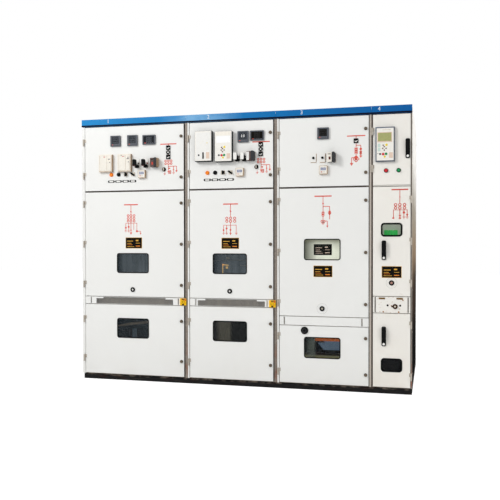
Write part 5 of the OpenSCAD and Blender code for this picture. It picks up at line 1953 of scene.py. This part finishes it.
def build_world(strength):
    world = bpy.data.worlds.new("Studio")
    bpy.context.scene.world = world
    world.use_nodes = True
    tree = world.node_tree
    back = tree.nodes["Background"]
    back.inputs["Color"].default_value = WHITE
    ends = {"Value": seen_rays(tree), "To Min": strength, "To Max": 1.0}
    tree.links.new(add_node(tree, "ShaderNodeMapRange", ends).outputs[0], back.inputs["Strength"])


def build_floor(glow):
    """A white floor that keeps a soft shadow."""
    bm = bmesh.new()
    bmesh.ops.create_grid(bm, x_segments=1, y_segments=1, size=FLOOR_REACH)
    mesh = bpy.data.meshes.new("floor")
    bm.to_mesh(mesh)
    bm.free()
    mesh.transform(Matrix.Translation((0.0, 0.0, CAD_BOX[0][2] - FLOOR_BELOW)))
    floor = link(bpy.data.objects.new("floor", mesh))
    white = Finish("floor_white", roughness=0.9, gloss=0.0)
    white.fix("Base Color", FLOOR_GREY)
    white.fix("Emission Color", WHITE)
    white.put("Emission Strength", white.span(seen_rays(white.tree), 0.0, 1.0, 0.0, glow))
    mesh.materials.append(white.material)


# name: (place, target, size, share of the key light's power)
LIGHTS = {
    "Key": ((-4.6, -6.4, 5.4), (0.0, -0.6, 1.2), 2.6, 1.0),
    "Fill": ((5.2, -6.0, 3.0), (0.6, -0.6, 1.2), 4.0, 0.22),
    "Rear": ((1.5, 6.5, 4.5), (0.0, 0.7, 1.2), 4.0, 0.45),
    "Side": ((4.6, 0.2, 4.6), (1.4, 0.0, 1.7), 2.0, 0.32),
}


def build_lights(power):
    for name, (place, target, size, share) in LIGHTS.items():
        data = bpy.data.lights.new(name, "AREA")
        data.energy = power * share
        data.size = size
        light = link(bpy.data.objects.new(name, data))
        aim(light, place, target)


# Add-on

class SwitchgearPaint(bpy.types.PropertyGroup):
    """Paint colours of the line-up."""

    door_code: bpy.props.StringProperty(
        name="Door paint", description="sRGB code of the door paint", default="EDEDEA"
    )
    aged_code: bpy.props.StringProperty(
        name="Aged paint", description="sRGB code of the paint on the narrow panel", default="F0EDE6"
    )


class SwitchgearTrim(bpy.types.PropertyGroup):
    """Sizes of the fasteners."""

    head_radius: bpy.props.FloatProperty(
        name="Head radius", description="Corner radius of a bolt head", default=0.0062, unit="LENGTH"
    )
    head_height: bpy.props.FloatProperty(
        name="Head height", description="Height of a bolt head", default=0.004, unit="LENGTH"
    )
    washer_radius: bpy.props.FloatProperty(
        name="Washer radius", description="Radius of a bolt head's washer", default=0.0095, unit="LENGTH"
    )


class SwitchgearStage(bpy.types.PropertyGroup):
    """Light levels of the studio."""

    key_power: bpy.props.FloatProperty(
        name="Key light", description="Power of the key light", default=330.0, unit="POWER"
    )
    world_strength: bpy.props.FloatProperty(
        name="Surround", description="Strength of the even light from all sides", default=0.5
    )
    floor_glow: bpy.props.FloatProperty(
        name="Floor white", description="White that the camera sees on the floor", default=0.72
    )


class SWITCHGEAR_OT_stage(bpy.types.Operator):
    """Sets up the camera, the lights and the white floor"""

    bl_idname = "switchgear.stage"
    bl_label = "Stage"

    def execute(self, context):
        stage = context.scene.switchgear_stage
        context.scene.view_settings.view_transform = "Standard"
        build_camera()
        build_world(stage.world_strength)
        build_floor(stage.floor_glow)
        build_lights(stage.key_power)
        return {"FINISHED"}


class SWITCHGEAR_OT_finishes(bpy.types.Operator):
    """Makes the procedural finishes that the pieces share"""

    bl_idname = "switchgear.finishes"
    bl_label = "Finishes"

    def execute(self, context):
        make_finishes(context.scene.switchgear_paint)
        return {"FINISHED"}


class SWITCHGEAR_OT_shell(bpy.types.Operator):
    """Dresses the base, walls, posts, rails, roof and rear covers"""

    bl_idname = "switchgear.shell"
    bl_label = "Base and shell"

    def execute(self, context):
        build_base()
        build_shell()
        return {"FINISHED"}


class SWITCHGEAR_OT_header(bpy.types.Operator):
    """Dresses the blue header with its dark lip of painted shade and panel numbers"""

    bl_idname = "switchgear.header"
    bl_label = "Header"

    def execute(self, context):
        build_header()
        return {"FINISHED"}


class SWITCHGEAR_OT_doors(bpy.types.Operator):
    """Dresses the doors, their fittings and hinges and the window panes"""

    bl_idname = "switchgear.doors"
    bl_label = "Doors and windows"

    def execute(self, context):
        build_doors()
        build_fittings()
        build_windows()
        return {"FINISHED"}


class SWITCHGEAR_OT_strips(bpy.types.Operator):
    """Dresses the front strips and interlocks"""

    bl_idname = "switchgear.strips"
    bl_label = "Front strips"

    def execute(self, context):
        build_strips()
        return {"FINISHED"}


class SWITCHGEAR_OT_instruments(bpy.types.Operator):
    """Dresses the meters, relays, switches, buttons and indicators"""

    bl_idname = "switchgear.instruments"
    bl_label = "Instruments"

    def execute(self, context):
        build_meters()
        build_relays()
        build_switches()
        build_buttons()
        build_indicators()
        return {"FINISHED"}


class SWITCHGEAR_OT_mimics(bpy.types.Operator):
    """Paints the mimic diagrams on the doors"""

    bl_idname = "switchgear.mimics"
    bl_label = "Mimic diagrams"

    def execute(self, context):
        build_mimics()
        return {"FINISHED"}


class SWITCHGEAR_OT_plates(bpy.types.Operator):
    """Puts plain plates and pill labels on the doors"""

    bl_idname = "switchgear.plates"
    bl_label = "Plates and labels"

    def execute(self, context):
        build_plates()
        return {"FINISHED"}


class SWITCHGEAR_OT_trucks(bpy.types.Operator):
    """Dresses the trucks and transformers behind the windows"""

    bl_idname = "switchgear.trucks"
    bl_label = "Trucks"

    def execute(self, context):
        build_trucks()
        return {"FINISHED"}


class SWITCHGEAR_OT_repeats(bpy.types.Operator):
    """Adds the fasteners and the slats of the vent grilles"""

    bl_idname = "switchgear.repeats"
    bl_label = "Fasteners and slats"

    def execute(self, context):
        build_fasteners(context.scene.switchgear_trim)
        build_grilles()
        return {"FINISHED"}


OPERATORS = (
    SWITCHGEAR_OT_stage,
    SWITCHGEAR_OT_finishes,
    SWITCHGEAR_OT_shell,
    SWITCHGEAR_OT_header,
    SWITCHGEAR_OT_doors,
    SWITCHGEAR_OT_strips,
    SWITCHGEAR_OT_instruments,
    SWITCHGEAR_OT_mimics,
    SWITCHGEAR_OT_plates,
    SWITCHGEAR_OT_trucks,
    SWITCHGEAR_OT_repeats,
)


class SWITCHGEAR_PT_sidebar(bpy.types.Panel):
    """Lists the line-up's settings and steps"""

    bl_idname = "SWITCHGEAR_PT_sidebar"
    bl_label = "Switchgear Line-up"
    bl_space_type = "VIEW_3D"
    bl_region_type = "UI"
    bl_category = "Switchgear"

    def draw(self, context):
        scene = context.scene
        for group in (scene.switchgear_paint, scene.switchgear_trim, scene.switchgear_stage):
            box = self.layout.box()
            for name in group.__annotations__:
                box.prop(group, name)
        for operator in OPERATORS:
            self.layout.operator(operator.bl_idname)


GROUPS = {
    "switchgear_paint": SwitchgearPaint,
    "switchgear_trim": SwitchgearTrim,
    "switchgear_stage": SwitchgearStage,
}


def register():
    for group in GROUPS.values():
        bpy.utils.register_class(group)
    for name, group in GROUPS.items():
        setattr(bpy.types.Scene, name, bpy.props.PointerProperty(type=group))
    for operator in OPERATORS:
        bpy.utils.register_class(operator)
    bpy.utils.register_class(SWITCHGEAR_PT_sidebar)


def unregister():
    bpy.utils.unregister_class(SWITCHGEAR_PT_sidebar)
    for operator in reversed(OPERATORS):
        bpy.utils.unregister_class(operator)
    for name in GROUPS:
        delattr(bpy.types.Scene, name)
    for group in GROUPS.values():
        bpy.utils.unregister_class(group)


def main():
    register()
    bpy.ops.switchgear.stage()
    bpy.ops.switchgear.finishes()
    bpy.ops.switchgear.shell()
    bpy.ops.switchgear.header()
    bpy.ops.switchgear.doors()
    bpy.ops.switchgear.strips()
    bpy.ops.switchgear.instruments()
    bpy.ops.switchgear.mimics()
    bpy.ops.switchgear.plates()
    bpy.ops.switchgear.trucks()
    bpy.ops.switchgear.repeats()


if __name__ == "__main__":
    main()
